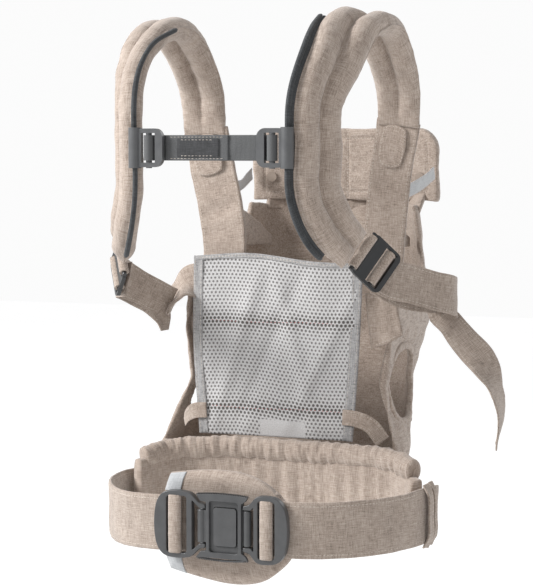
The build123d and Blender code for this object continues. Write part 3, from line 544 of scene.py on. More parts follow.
# ---- routes shared with the CAD model
# Down the back each pad lies turned by BACK_TURN, its middle REACH from the rail that the sliders run on.
BACK_TURN = math.radians(56)
OUT_LEFT = (-math.sin(BACK_TURN), -math.cos(BACK_TURN), 0)
OUT_RIGHT = (math.sin(BACK_TURN), -math.cos(BACK_TURN), 0)
REACH = 36.2
PAD_LEFT_X = -76.7 - REACH * math.cos(BACK_TURN)
PAD_RIGHT_X = 84.3 + REACH * math.cos(BACK_TURN)
PAD_Y = -130 + REACH * math.sin(BACK_TURN)
LEFT_PAD = [
    ((-96, 95, 446), (0, 1, 0), 50),
    ((-96, 84, 494), (0, 1, 0.3), 54),
    ((-99, 56, 531), (0, 0.8, 0.6), 56),
    ((-99, 8, 554), (0, 0.1, 1), 58),
    ((-100, -42, 544), (-0.3, -0.5, 0.8), 58),
    ((-101, -80, 511), (-0.7, -0.6, 0.35), 58),
    ((PAD_LEFT_X, PAD_Y, 472), OUT_LEFT, 58),
    ((PAD_LEFT_X, PAD_Y, 430), OUT_LEFT, 58),
    ((PAD_LEFT_X, PAD_Y, 388), OUT_LEFT, 58),
    ((-109, -88, 352), (-0.83, -0.56, 0), 55),
    ((-121, -66, 328), (-0.85, -0.52, 0), 42),
]
RIGHT_PAD = [
    ((127, 95, 455), (0, 1, 0), 47),
    ((130, 81, 491), (0, 1, 0.3), 50),
    ((130, 54, 524), (0, 0.8, 0.6), 54),
    ((127, 10, 554), (0, 0.1, 1), 58),
    ((121, -38, 553), (0.3, -0.5, 0.8), 58),
    ((115, -80, 515), (0.7, -0.6, 0.35), 58),
    ((PAD_RIGHT_X, PAD_Y, 472), OUT_RIGHT, 58),
    ((PAD_RIGHT_X, PAD_Y, 430), OUT_RIGHT, 58),
    ((PAD_RIGHT_X, PAD_Y, 388), OUT_RIGHT, 58),
    ((116, -90, 356), (0.82, -0.57, 0), 56),
    ((129, -63, 331), (0.82, -0.57, 0), 48),
]


# ---- shoulder pads
def quilted(groove, span):
    """Two long swellings with a sewn channel between them and flat seam edges."""

    def profile(far, a):
        lobe_a = np.clip((a + 0.97) / (groove + 0.97), 0, 1)
        lobe_b = np.clip((0.97 - a) / (0.97 - groove), 0, 1)
        x = np.where(a < groove, lobe_a, lobe_b)
        swell = np.maximum(1 - np.abs(2 * x - 1) ** 2.3, 0) ** 0.6
        ends = np.clip((span - far) / 14, 0, 1) ** 0.5
        front = np.clip(far / 75, 0, 1) ** 0.8
        level = 0.10 + (0.98 + 0.05 * ripple(far, a * 20, 3, 38)) * swell * (0.25 + 0.75 * ends)
        return 0.27 * (1 - front) + level * front

    return profile


def pad_piece(side, stations, groove, seed):
    line = Line([(place, out, width - 2.4) for place, out, width in stations], 2.5)

    def crease(far, a):
        pull = bump(a, groove, 0.25) * 0.5 * np.sin(far / 3.1 + 2 * np.sin(far / 17.0))
        edge = np.maximum(np.abs(a) - 0.6, 0) * 1.6 * ripple(far, a * 9, seed, 15)
        return pull + edge + 0.5 * ripple(far, 25 * a, seed + 2, 34)

    obj = strip(f"pad_{side}", line, 22, 44, 12.0, crease, quilted(groove, line.length))
    finish_piece(obj, CLOTH, "fabric", "harness", f"shoulder_pad_{side}", f"shoulder_foam_{side}")
    paths = []
    for face in (1, -1):
        for a, out in ((groove, 1.7), (-0.94, 1.7), (0.94, 1.7)):
            fars = np.arange(8, line.length - 8, 4.0)
            paths.append([line.at(f, a, face * out) for f in fars])
    stitch = threads(f"pad_stitch_{side}", paths)
    finish_piece(stitch, THREAD, "fabric", "harness")


def rail_piece(side, stations, sign):
    last, before = np.array(stations[-1][0], float), np.array(stations[-2][0], float)
    cut = tuple(before + (last - before) * 0.3)
    route = [*stations[4:-1], (cut, stations[-1][1], stations[-2][2] - 2)]
    line = Line(route, 3.0)
    bead = Line(route, 3.0)
    offset = line.width / 2 + 6.0
    bead.point = line.point + line.across * (sign * offset)[:, None]
    web = Line(route, 3.0)
    web.point = line.point + line.across * (sign * (line.width / 2 + 1.2))[:, None]
    web.width = np.full(len(web.width), 5.4)

    def twist(far, turn):
        return 0.12 * np.sin(far * 2.1 + turn * 2)

    round_piece = tube(f"rail_bead_{side}", bead, 2.7, 14, twist)
    finish_piece(round_piece, PIPING, "rail", "harness", f"rail_{side}")
    flat = strip(f"rail_web_{side}", web, 1.0, 8, 6.0)
    finish_piece(flat, PIPING, "rail", "harness")


pad_piece("left", LEFT_PAD, 0.05, 1)
pad_piece("right", RIGHT_PAD, -0.02, 5)
rail_piece("left", LEFT_PAD, -1)
rail_piece("right", RIGHT_PAD, 1)


# ---- straps of folded, edge-stitched fabric
def folded_strap(
    name, stations, thickness, material, slot, body, nodes, seed=1, wave=0.6, inset=3.0, stitch=True
):
    """A strap through its stations with a row of stitches inset from each edge of both faces."""
    line = Line(stations)

    def shift(far, a):
        return wave * ripple(far, a * 22, seed, 30) + 0.15 * ripple(far, a * 20, seed + 3, 6)

    obj = strip(name, line, thickness, 18, 10.0, shift)
    finish_piece(obj, material, slot, body, *nodes)
    if stitch:
        paths = []
        for face in (1, -1):
            for sign in (-1, 1):
                fars = np.arange(3, line.length - 3, 3.0)
                rows = []
                for f in fars:
                    a = sign * (1 - 2 * inset / np.interp(f, line.far, line.width))
                    lift = float(shift(np.array([f]), np.array([a]))[0])
                    rows.append(line.at(f, a, face * (thickness / 2 - 0.05) + lift))
                paths.append(rows)
        finish_piece(threads(f"{name}_stitch", paths), THREAD, slot, body)
    return obj, line


LEFT_FRONT = [
    ((-95, 96, 449), (0, 1, 0), 52),
    ((-88, 97, 408), (0, 1, 0), 52),
    ((-78, 96, 366), (0, 1, 0), 52),
    ((-72, 93, 322), (0, 1, 0), 50),
    ((-72, 91, 300), (0, 1, 0), 50),
]
RIGHT_FRONT = [
    ((126, 97, 458), (0, 1, 0), 48),
    ((117, 100, 406), (0, 1, 0), 46),
    ((112, 100, 359), (0, 1, 0), 46),
    ((109, 96, 300), (0, 1, 0), 45),
]
for side, stations, seed in (("left", LEFT_FRONT, 2), ("right", RIGHT_FRONT, 3)):
    folded_strap(
        f"front_{side}", stations, 6.0, CLOTH, "fabric", "harness", [f"front_strap_{side}"], seed, 1.0
    )


def strap_patch(side, stations, width):
    """A rounded patch sewn flat on a front strap's rear face, with stitches round its edge."""
    line = Line(stations)
    far, a, length, out, thickness = 26, -0.05, 46, -4.9, 1.6

    def surface(u, v):
        p, q = 2 * u - 1, 2 * v - 1
        sx, sy = p * np.sqrt(1 - 0.3 * q * q), q * np.sqrt(1 - 0.3 * p * p)
        half = np.interp(far, line.far, line.width) / 2
        return np.moveaxis(line.at(far + sy * length / 2, a + sx * width / 2 / half, out), 0, -1)

    def thin_edge(u, v):
        inside = np.clip(14 * u * (1 - u), 0, 1) * np.clip(14 * v * (1 - v), 0, 1)
        return thickness * (0.35 + 0.65 * inside)

    obj = plate(f"patch_{side}", surface, 30, 40, thin_edge)
    finish_piece(obj, CLOTH, "fabric", "harness", f"strap_patch_{side}")
    turn = np.linspace(0, 2 * math.pi, 60)
    p = np.clip(1.3 * np.cos(turn), -1, 1) * 0.88
    q = np.clip(1.3 * np.sin(turn), -1, 1) * 0.92
    ring = surface((p + 1) / 2, (q + 1) / 2) - np.array([line.facing[0]]) * thickness * 0.45
    finish_piece(threads(f"patch_{side}_stitch", [ring]), THREAD, "fabric", "harness")


strap_patch("left", LEFT_FRONT, 34)
strap_patch("right", RIGHT_FRONT, 29)

WEBBING = 40
RIGHT_WEBBING = [
    ((142, -20, 303), (0.7, -0.7, 0), WEBBING),
    ((164, 1, 287), (0.75, -0.6, 0.2), WEBBING),
    ((181, 18, 280), (0.9, -0.4, 0.2), 34),
    ((184, 40, 277), (1, 0.15, 0), 32),
    ((172, 63, 277), (0.75, 0.65, 0), 34),
    ((152, 79, 281), (0.5, 0.85, 0), WEBBING),
    ((127, 90, 291), (0.3, 0.95, 0), WEBBING),
]
LEFT_WEBBING = [
    ((-141, -24, 296), (-0.9, -0.4, 0.2), WEBBING),
    ((-152, 0, 293), (-1, -0.1, 0.2), WEBBING),
    ((-157, 22, 287), (-0.95, 0.3, 0.1), WEBBING),
    ((-150, 42, 278), (-0.75, 0.65, 0), 36),
    ((-139, 58, 268), (-0.6, 0.8, 0), 36),
    ((-127, 70, 260), (-0.5, 0.85, 0), 34),
]
LEFT_TAIL = [
    ((-136, -20, 292), (-0.9, -0.4, 0.2), 38),
    ((-156, 2, 288), (-1, -0.1, 0.2), 37),
    ((-161, 24, 283), (-0.95, 0.3, 0.1), 35),
    ((-154, 43, 273), (-0.8, 0.55, 0), 33),
    ((-143, 56, 261), (-0.75, 0.6, 0.2), 28),
    ((-134, 62, 245), (-0.65, 0.3, 0.5), 22),
    ((-131, 62, 231), (-0.6, 0, 0.7), 20),
]
RIGHT_TAIL = [
    ((144.5, -29.4, 309.3), (0.77, -0.64, 0), WEBBING),
    ((153, -22.5, 300.4), (0.77, -0.64, 0), WEBBING),
    ((174, -10, 294), (0.62, -0.75, 0.2), WEBBING),
    ((194, 2, 287), (0.7, -0.65, 0.15), WEBBING),
    ((208, 18, 282), (0.95, -0.25, 0), WEBBING),
    ((208, 33, 278), (0.93, 0.35, 0), WEBBING),
    ((198, 42, 271), (0.4, 0.9, 0.1), 36),
    ((189, 41, 262), (-0.1, 0.95, 0.3), 28),
    ((201, 36, 252), (-0.4, 0.88, 0), 27),
    ((215, 27, 239), (-0.5, 0.85, -0.1), 30),
    ((242, 19, 212), (-0.78, 0.5, 0.3), 34),
    ((255, 17, 188), (-0.95, 0.1, 0.2), 37),
    ((260, 18, 158), (-1, -0.1, 0), WEBBING),
    ((255, 18, 130), (-0.97, -0.25, 0), WEBBING),
]
for side, stations, seed in (("right", RIGHT_WEBBING, 4), ("left", LEFT_WEBBING, 5)):
    node = f"shoulder_webbing_{side}"
    folded_strap(f"webbing_{side}", stations, 1.8, STRAP, "webbing", "harness", [node], seed)
for side, stations in (("left", LEFT_TAIL), ("right", RIGHT_TAIL)):
    node = f"webbing_tail_{side}"
    tail, line = folded_strap(f"tail_{side}", stations, 1.8, STRAP, "webbing", "harness", [node], 6, 0.5)

# ---- waist
BUCKLE_Z = 60
STRAP_Y = -129.15
LEFT_WAIST = [
    ((-24, STRAP_Y, BUCKLE_Z - 1), (0, -1, 0), 56),
    ((-58, STRAP_Y, BUCKLE_Z - 2), (-0.15, -1, 0), 56),
    ((-99, -112, BUCKLE_Z - 4), (-0.55, -0.85, 0), 56),
    ((-134, -70, BUCKLE_Z - 5), (-0.85, -0.5, 0), 56),
    ((-152, -22, BUCKLE_Z - 6), (-1, -0.15, 0), 56),
    ((-154, 12, BUCKLE_Z - 6), (-1, 0.2, 0), 56),
    ((-144, 36, BUCKLE_Z - 6), (-0.8, 0.6, 0), 56),
]
RIGHT_WAIST = [
    ((60, STRAP_Y, BUCKLE_Z + 1), (0, -1, 0), 56),
    ((94, STRAP_Y, BUCKLE_Z), (0.15, -1, 0), 56),
    ((136, -110, BUCKLE_Z), (0.5, -0.85, 0), 56),
    ((177, -66, BUCKLE_Z + 1), (0.8, -0.6, 0), 56),
    ((195, -20, BUCKLE_Z + 3), (1, -0.15, 0), 56),
    ((194, 14, BUCKLE_Z + 1), (1, 0.3, 0), 52),
    ((182, 38, BUCKLE_Z - 2), (0.8, 0.6, 0), 46),
]
for side, stations, seed in (("left", LEFT_WAIST, 7), ("right", RIGHT_WAIST, 9)):
    node = f"waist_strap_{side}"
    folded_strap(f"waist_{side}", stations, 3.5, STRAP, "fabric", "harness", [node], seed, 0.7, 4)

BELT = [
    ((-138, 6, 58), (-1, 0.3, 0), 74),
    ((-122, 38, 58), (-0.7, 0.7, 0), 79),
    ((-75, 60, 59), (-0.3, 1, 0), 80),
    ((0, 70, 58), (0, 1, 0), 80),
    ((75, 63, 59), (0.25, 1, 0), 80),
    ((142, 41, 60), (0.6, 0.8, 0), 78),
    ((174, 12, 58), (1, 0.5, 0), 68),
]
belt_line = Line(BELT, 1.6)


def belt_folds(far, a):
    top = np.clip((-a + 1) / 2, 0, 1) ** 1.5
    fall = 2.8 * ripple(far, 3 * a, 2, 26) + 1.1 * ripple(far, 2 * a, 6, 11)
    return fall * (0.3 + 0.7 * top) * np.clip(1 - np.abs(a) ** 8, 0, 1)


belt = strip("belt", belt_line, 14, 26, 5.0, belt_folds)
finish_piece(belt, CLOTH, "fabric", "harness", "waist_belt_cover", "waist_belt_foam")
TUNNEL = [
    ((-136, 14, 95), (-1, 0.3, 0), 0),
    ((-121, 38, 100.5), (-0.7, 0.7, 0), 0),
    ((-75, 59, 104), (-0.3, 1, 0), 0),
    ((0, 69, 103.5), (0, 1, 0), 0),
    ((75, 62, 104), (0.25, 1, 0), 0),
    ((141, 41, 104), (0.6, 0.8, 0), 0),
    ((169, 17, 99), (1, 0.5, 0), 0),
]


def gathers(far, turn):
    flat = 2.6 * np.abs(np.cos(turn)) ** 2
    far = far + 0 * turn
    return flat + 1.0 * ripple(far, turn * 2, 4, 15) + 0.7 * ripple(far, turn * 3, 7, 7)


tunnel = tube("tunnel", Line(TUNNEL, 1.2), 9.4, 28, gathers)
finish_piece(tunnel, CLOTH, "fabric", "harness", "belt_tunnel", "tunnel_elastic")


def lumbar_surface(u, v):
    p, q = 2 * u - 1, 2 * v - 1
    round_by = 0.27 + 0.25 * u
    x = 20 + 73 * p * np.sqrt(1 - round_by * q * q)
    z = 56.5 - 56.5 * q * np.sqrt(1 - round_by * p * p) - 3 * p
    return np.stack([x, -121 + 0.5 * ripple(x, z, 3, 50), z], axis=-1)


def lumbar_thickness(u, v):
    edge = np.clip(np.minimum(np.minimum(u, 1 - u) * 146, np.minimum(v, 1 - v) * 113) / 12, 0, 1)
    return 2.4 + 10.5 * np.sqrt(1 - (1 - edge) ** 2)


lumbar = plate("lumbar", lumbar_surface, 84, 68, lumbar_thickness)
finish_piece(lumbar, CLOTH, "fabric", "harness", "lumbar_pad_cover", "lumbar_stiffener")


def corner_patch(near, far):
    """A patch of the lumbar pad's face at its left end, between two heights of the pad."""

    def surface(u, v):
        across, down = 0.012 + 0.128 * u, near + (far - near) * v
        place = lumbar_surface(across, down)
        place[..., 1] -= lumbar_thickness(across, down) / 2 + 0.4
        return place

    return surface


for label, near, far in (("top", 0.008, 0.185), ("low", 0.992, 0.815)):
    corner = plate(f"corner_{label}", corner_patch(near, far), 24, 24, lambda u, v: 0.9 + 0 * u)
    finish_piece(corner, REFLECTIVE, "reflective", "harness")

# ---- inner mesh panel
MESH_Y = 80


def mesh_surface(u, v):
    left = -102 + 7 * v
    right = 92 - 11 * v
    top = 312 - 5 * u + 3 * np.sin(u * 6.0)
    x = left + (right - left) * u
    z = top + (116 - top) * v
    y = MESH_Y + 0 * u
    for place, lean, depth in ((0.25, 0.35, 3.2), (0.45, 0.45, -2.4), (0.62, -0.3, 2.6), (0.8, 0.5, 2.4)):
        fade = np.sin(np.pi * np.clip(v, 0, 1)) ** 0.6
        y = y - depth * bump(u + lean * v, place + lean * 0.5, 0.05) * fade
    return np.stack([x, y + 0.9 * ripple(x, z, 5, 60), z], axis=-1)


inner = plate("inner_mesh", mesh_surface, 120, 120, lambda u, v: 2.6 + 0 * u)
mesh_data = inner.data
at = per_vertex(mesh_data, "co") / MM
marks = {
    "open": bump(at[:, 2], 242, 9) + bump(at[:, 2], 147, 9),
    "plain": (np.abs(at[:, 0] - 2) < 26) & (at[:, 2] < 135),
}
for mark, values in marks.items():
    attribute = mesh_data.attributes.new(mark, "FLOAT", "POINT")
    attribute.data.foreach_set("value", values.astype(np.float32))
finish_piece(inner, MESH, "mesh", "harness", "mesh_panel")
red = []
for level in (242, 147):
    x = np.linspace(-84, 70, 60)
    red.append(columns(x, MESH_Y - 3.4 + 0 * x, level + 0.6 * np.sin(x / 20)))
finish_piece(threads("mesh_red_rows", red, 1.3, 3.3, 0.45), RED, "mesh", "harness")
EDGE = 11
SIDE_Y = MESH_Y - 0.5
TOP_Y = MESH_Y - 0.8
LEFT_BINDING = facing_back(EDGE, (-97, SIDE_Y, 311), (-98, SIDE_Y, 215), (-91, SIDE_Y, 117))
RIGHT_BINDING = facing_back(EDGE, (87, SIDE_Y, 307), (83, SIDE_Y, 215), (76, SIDE_Y, 117))
TOP_BINDING = facing_back(5, (-100, TOP_Y, 310), (-40, TOP_Y, 314), (40, TOP_Y, 306), (90, TOP_Y, 305))
for side, stations, thickness, nodes, seed in (
    ("left", LEFT_BINDING, 4.2, ["mesh_binding_left"], 3),
    ("right", RIGHT_BINDING, 4.2, ["mesh_binding_right"], 6),
    ("top", TOP_BINDING, 4.0, [], 8),
):
    folded_strap(f"binding_{side}", stations, thickness, EDGE_CLOTH, "mesh", "harness", nodes, seed, 0.3, 2)
TAB_Y = MESH_Y - 4
LEFT_TAB = [
    ((-88, TAB_Y, 142), (0, -1, 0), 17),
    ((-100, TAB_Y, 141), (-0.2, -1, 0), 17),
    ((-112, TAB_Y + 6, 134), (-0.5, -0.8, 0), 14),
    ((-118, TAB_Y + 12, 126), (-0.8, -0.5, 0), 11),
]
RIGHT_TAB = [
    ((72, TAB_Y, 142), (0, -1, 0), 17),
    ((86, TAB_Y, 141), (0.1, -1, 0), 17),
    ((102, TAB_Y + 3, 134), (0.4, -0.9, 0), 17),
    ((114, TAB_Y + 7, 118), (0.6, -0.8, 0), 17),
]
for side, stations, seed in (("left", LEFT_TAB, 2), ("right", RIGHT_TAB, 4)):
    node = f"mesh_tab_{side}"
    folded_strap(f"tab_{side}", stations, 2, STRAP, "webbing", "harness", [node], seed, 0.2, 2)

# ---- wings, panel, head support
LEFT_WING = [
    ((-96, 90, 285), (-0.2, -0.95, 0.1), 40),
    ((-112, 84, 281), (-0.4, -0.85, 0.3), 42),
    ((-124, 78, 269), (-0.6, -0.62, 0.5), 42),
    ((-129, 72, 256), (-0.72, -0.35, 0.57), 42),
    ((-131, 69, 247), (-0.8, -0.3, 0.4), 40),
]
LEFT_WING_BACK = [
    ((-92, 95, 262), (-0.4, -0.9, 0), 28),
    ((-104, 97, 249), (-0.5, -0.85, 0), 30),
    ((-110, 99, 229), (-0.5, -0.85, 0), 30),
    ((-106, 101, 205), (-0.5, -0.85, 0), 30),
    ((-96, 103, 182), (-0.4, -0.9, 0), 28),
]
RIGHT_WING = [
    ((98, 86, 246), (0, 1, 0), 60),
    ((114, 87, 248), (0.1, 1, 0), 52),
    ((130, 86, 252), (0.3, 1, 0), 42),
]
folded_strap("wing_piece_left", LEFT_WING, 4, CLOTH, "fabric", "harness", ["wing_left"], 2, 2.0)
folded_strap("wing_back_left", LEFT_WING_BACK, 3, CLOTH, "fabric", "harness", [], 4, 2.0)
folded_strap("wing_piece_right", RIGHT_WING, 4, CLOTH, "fabric", "harness", ["wing_right"], 5, 2.0)
# The outer panel's section at some heights: its middle, half its width and how far forward it reaches.
LEVEL_Z = (52, 98, 176, 232, 290, 366)
LEVEL_MIDDLE = (-8, -12, -1, 0, 1, 0)
LEVEL_HALF = (128, 140, 113, 122, 114, 102)
LEVEL_FORWARD = (112, 182, 248, 278, 292, 298)
PANEL_CORNER = 52


def panel_side(y, z, side):
    """How far out the panel's side wall is at a height and a distance forward."""
    half = np.interp(z, LEVEL_Z, LEVEL_HALF)
    bend = np.clip(y - (np.interp(z, LEVEL_Z, LEVEL_FORWARD) - PANEL_CORNER), 0, PANEL_CORNER - 2)
    out = half - PANEL_CORNER + np.sqrt(PANEL_CORNER**2 - bend**2) - 1
    return np.interp(z, LEVEL_Z, LEVEL_MIDDLE) + side * out


def panel_front(x, z):
    """How far forward the panel's outer face is at a height and a distance from the middle."""
    half = np.interp(z, LEVEL_Z, LEVEL_HALF)
    aside = np.abs(x - np.interp(z, LEVEL_Z, LEVEL_MIDDLE))
    bend = np.clip(aside - (half - PANEL_CORNER), 0, PANEL_CORNER - 2)
    return np.interp(z, LEVEL_Z, LEVEL_FORWARD) - PANEL_CORNER + np.sqrt(PANEL_CORNER**2 - bend**2)


outer = soften("outer_panel", "front_panel", 2.4, 8, 1.5, 2, 60)
seams = []
for start, end in ((-96, -62), (92, 66)):
    z = np.linspace(96, 356, 60)
    x = start + (end - start) * ((z - 96) / 260) ** 0.6
    seams.append(columns(x, panel_front(x, z), z))
for level in (300, 350):
    x = np.linspace(-88, 90, 60)
    seams.append(columns(x, panel_front(x, level + 0 * x), level - 0.001 * x * x))
press_seam(outer, seams, 1.8, 1.3)
panel_rows = []
for seam in seams:
    level_seam = abs(seam[0][2] - seam[-1][2]) < 40
    panel_rows.append(lay_on(outer, seam + [0, 0, 3.0]))
    panel_rows.append(lay_on(outer, seam + ([0, 0, -3.0] if level_seam else [3.0, 0, 0])))
finish_piece(threads("panel_stitches", panel_rows), THREAD, "fabric", "harness")
finish_piece(outer, CLOTH_BODY, "fabric", "harness", "front_panel")
LEG_Y, LEG_Z = 152, 172
turn = np.linspace(0, 2 * math.pi, 49)
leg_y = LEG_Y + 44 * np.sign(np.cos(turn)) * np.abs(np.cos(turn)) ** 0.8
leg_z = LEG_Z + 42 * np.sign(np.sin(turn)) * np.abs(np.sin(turn)) ** 0.8


def leg_folds(far, a):
    return 0.5 * ripple(far, a * 5, 4, 8)


for side, sign in (("left", -1), ("right", 1)):
    leg_x = panel_side(leg_y, leg_z, sign) - sign * 1.5
    rim_line = Line([(place, (sign, 0.2, 0), 9) for place in zip(leg_x, leg_y, leg_z)], 2.0)
    binding = strip(f"leg_binding_{side}", rim_line, 7, 14, 3.0, leg_folds)
    finish_piece(binding, CLOTH, "fabric", "harness")
for side in ("left", "right"):
    flap = soften(f"flap_{side}", f"side_flap_{side}", 1.5, 4, 0.8, 4, 30)
    finish_piece(flap, CLOTH_BODY, "fabric", "harness", f"side_flap_{side}")
head = soften("head_rest", "head_support_cover", 1.8, 10, 0.9, 6, 50)
HEAD_X = 6
HEAD_FACES = (298, 286)


def head_y(x, face):
    """How far forward a face of the head support is. It bows back towards its sides."""
    return face - (x - HEAD_X) ** 2 / 828


head_seams = []
for aside, low, high in ((-100, 380, 442), (100, 380, 442), (0, 372, 449)):
    z = np.linspace(low, high, 20)
    x = HEAD_X + aside + 0 * z
    head_seams += [columns(x, head_y(x, face), z) for face in HEAD_FACES]
for level in (379, 442):
    x = np.linspace(-94, 106, 60)
    head_seams += [columns(x, head_y(x, face), level + 0 * x) for face in HEAD_FACES]
press_seam(head, head_seams, 1.8, 1.5)
head_rows = [lay_on(head, seam) for seam in head_seams]
finish_piece(threads("head_stitches", head_rows), THREAD, "fabric", "head_support")
finish_piece(head, CLOTH_BODY, "fabric", "head_support", "head_support_cover", "head_support_foam")


def fold_surface(u, v):
    x = -92 + 196 * u
    centre = np.clip(np.abs(x), 50, None) - 50
    low = 246 + np.sqrt(np.maximum(49.5**2 - centre**2, 60))
    high = head_y(x, 292)
    y = low + (high - low) * v + 1.5 * ripple(x, v * 10, 3, 22) * v * (1 - v) * 4
    return np.stack([x, y, 358 + 20 * v + 0 * x], axis=-1)


fold = plate("head_fold", fold_surface, 90, 12, lambda u, v: 5.2 + 0 * u)
fold.data.materials.append(CLOTH)
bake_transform(fold)
LEFT_REFLECT = [
    ((-62, 106, 388), (-1, 0, 0.2), 14),
    ((-84, 170, 388), (-1, -0.2, 0.2), 14),
    ((-100, 230, 394), (-1, -0.2, 0), 14),
    ((-107, 264, 400), (-1, -0.2, 0), 14),
]
RIGHT_REFLECT = [
    ((112, 110, 380), (1, 0, 0.2), 14),
    ((116, 170, 384), (1, -0.1, 0.2), 14),
    ((118, 230, 394), (1, -0.1, 0), 14),
    ((118, 264, 402), (1, -0.1, 0), 14),
]
for side, stations, seed in (("left", LEFT_REFLECT, 1), ("right", RIGHT_REFLECT, 2)):
    node = f"reflective_strap_{side}"
    folded_strap(
        f"reflect_{side}", stations, 1.2, REFLECTIVE, "reflective", "harness", [node], seed, 0.3, 1.5
    )

# ---- chest strap
CHEST_Z = 431
CHEST_WIDTH = 25
CHEST = facing_back(CHEST_WIDTH, (-62, -123.7, CHEST_Z), (0, -124.2, CHEST_Z), (69, -123.7, CHEST_Z))
CHEST_LOOK = (1.8, GREY_WEBBING, "chest_webbing", "chest_strap")
folded_strap("chest_band", CHEST, *CHEST_LOOK, ["chest_webbing"], 2, 0.3, stitch=False)
FOLD = facing_back(CHEST_WIDTH, (-44, -125.9, CHEST_Z), (-10, -126.3, CHEST_Z), (21, -125.9, CHEST_Z))
folded_strap("chest_fold", FOLD, *CHEST_LOOK, ["chest_webbing_fold"], 2, 0.2, 2)
TAG = facing_back(18, (-32, -127.6, CHEST_Z), (-10, -127.9, CHEST_Z), (12, -127.6, CHEST_Z))
folded_strap("chest_tag", TAG, 0.9, LABEL, "label", "chest_strap", ["chest_label"], 2, 0.1, inset=1.2)

# ---- waist buckle
BUCKLE_Y = -138


def rounded(corners):
    """A closed outline from corners (x, z, radius)."""
    loop = []
    for k, (x, z, r) in enumerate(corners):
        here = np.array((x, z), float)
        ends = []
        for other in (corners[k - 1], corners[(k + 1) % len(corners)]):
            way = np.array(other[:2], float) - here
            reach = min(r, np.linalg.norm(way) * 0.49)
            ends.append(here + way / np.linalg.norm(way) * reach)
        for t in (0, 0.25, 0.5, 0.75, 1):
            loop.append(tuple((1 - t) ** 2 * ends[0] + 2 * t * (1 - t) * here + t**2 * ends[1]))
    return loop


def moulding(name, loops, depth, y, bevel=0.8):
    """A moulded plate across the wearer's back, from an outline and its holes, with rounded edges."""
    curve = bpy.data.curves.new(name, "CURVE")
    curve.dimensions = "2D"
    curve.fill_mode = "BOTH"
    curve.extrude = (depth / 2 - bevel) * MM
    curve.bevel_depth = bevel * MM
    curve.bevel_resolution = 3
    curve.offset = -bevel * MM
    for loop in loops:
        spline = curve.splines.new("POLY")
        spline.points.add(len(loop) - 1)
        for point, (x, z) in zip(spline.points, loop):
            point.co = (x * MM, (z + BUCKLE_Z) * MM, 0, 1)
        spline.use_cyclic_u = True
    holder = add(f"{name}_outline", curve)
    bpy.context.view_layer.update()
    depsgraph = bpy.context.evaluated_depsgraph_get()
    mesh = bpy.data.meshes.new_from_object(holder.evaluated_get(depsgraph))
    bpy.data.objects.remove(holder)
    mesh.transform(Matrix.Translation((0, y * MM, 0)) @ Matrix.Rotation(math.pi / 2, 4, "X"))
    mesh.name = name
    obj = add(name, mesh)
    smooth(mesh)
    split = obj.modifiers.new("split", "EDGE_SPLIT")
    split.split_angle = math.radians(50)
    return obj


def mirrored(half):
    """An outline from its upper half, repeated below."""
    return [*half, *[(x, -z, r) for x, z, r in reversed(half)]]


# Corners (x, z, radius) of each frame's upper half, from the fork that holds a barrel to the outer end.
LEFT_HALF = [
    *((-11.5, 8, 0.5), (-11.5, 25, 1.5), (-3.5, 17.6, 1.2), (2.6, 17.6, 1), (2.6, 21.6, 1.5), (-4, 23, 2)),
    *((-13, 32, 3), (-24, 34, 4), (-42, 33, 9), (-50, 23, 12), (-52.5, 8, 12)),
]
RIGHT_HALF = [
    *((89, 8, 12), (86.5, 23, 12), (78, 33, 9), (62, 34, 5), (56, 32.5, 3)),
    *((49, 24, 2), (42.5, 22.4, 1.5), (42.5, 18.6, 1), (50.5, 18.6, 1.2), (53.5, 22, 1.5), (53.5, 8, 0.5)),
]
LEFT_SLOT = [(-39, 28.5, 4), (-17.5, 28.5, 3)]
RIGHT_SLOT = [(75.5, 28.5, 4), (58, 28.5, 3)]


def outline(half):
    return rounded(mirrored(half))


for side, half, hole in (("left", LEFT_HALF, LEFT_SLOT), ("right", RIGHT_HALF, RIGHT_SLOT)):
    buckle_frame = moulding(f"buckle_frame_{side}", [outline(half), outline(hole)], 8, BUCKLE_Y)
    finish_piece(buckle_frame, BUCKLE, "buckle_plastic", "harness", f"waist_buckle_frame_{side}")
teeth = []
for k in range(30):
    x = 47.5 - 1.8 * k
    arch = 32.6 + 1.6 * (1 - ((x - 21) / 28) ** 2)
    teeth += [(x, arch, 0.3), (x - 0.8, arch, 0.3), (x - 0.8, arch - 1.3, 0.2), (x - 1.7, arch - 1.3, 0.2)]
plate_right = [(41, 8, 0.5), (41, 24.2, 1), (46, 27.5, 1.5), (48, 31.5, 1.5)]
plate_left = [(-7.5, 32, 1), (-2.5, 25, 1), (3.6, 24.2, 1), (3.6, 8, 0.5)]
plate_half = [*plate_right, *teeth, *plate_left]
field = [(37.5, 25.5, 3), (7, 25.5, 3)]
rim = moulding("plate_rim", [outline(plate_half), outline(field)], 3.4, -140.6, 0.6)
finish_piece(rim, BUCKLE, "buckle_plastic", "buckle_plate", "waist_buckle_plate")
base_half, base_hole = [(41.6, 31, 3), (3.2, 31, 3)], [(35.3, 19.3, 3), (10.7, 19.3, 3)]
base = moulding("plate_base", [outline(base_half), outline(base_hole)], 4, -137, 0.6)
finish_piece(base, BUCKLE, "buckle_plastic", "buckle_plate")
for label, x, radius, reach, body in (
    ("hinge_barrel", -2, 4.6, 16.8, "buckle_plate"),
    ("catch_barrel", 46, 4.0, 18, "harness"),
):
    route = Line(facing_back(8, (x, BUCKLE_Y, BUCKLE_Z - reach), (x, BUCKLE_Y, BUCKLE_Z + reach)), 0.8)
    barrel = tube(label, route, radius, 28, lambda far, turn: 0.12 * math.sin(far * 2.6))
    finish_piece(barrel, BUCKLE, "buckle_plastic", body)
bridge = moulding("hinge_bridge", [outline([(5, 16, 1), (-2, 16, 1)])], 4.4, -139, 0.6)
finish_piece(bridge, BUCKLE, "buckle_plastic", "buckle_plate")


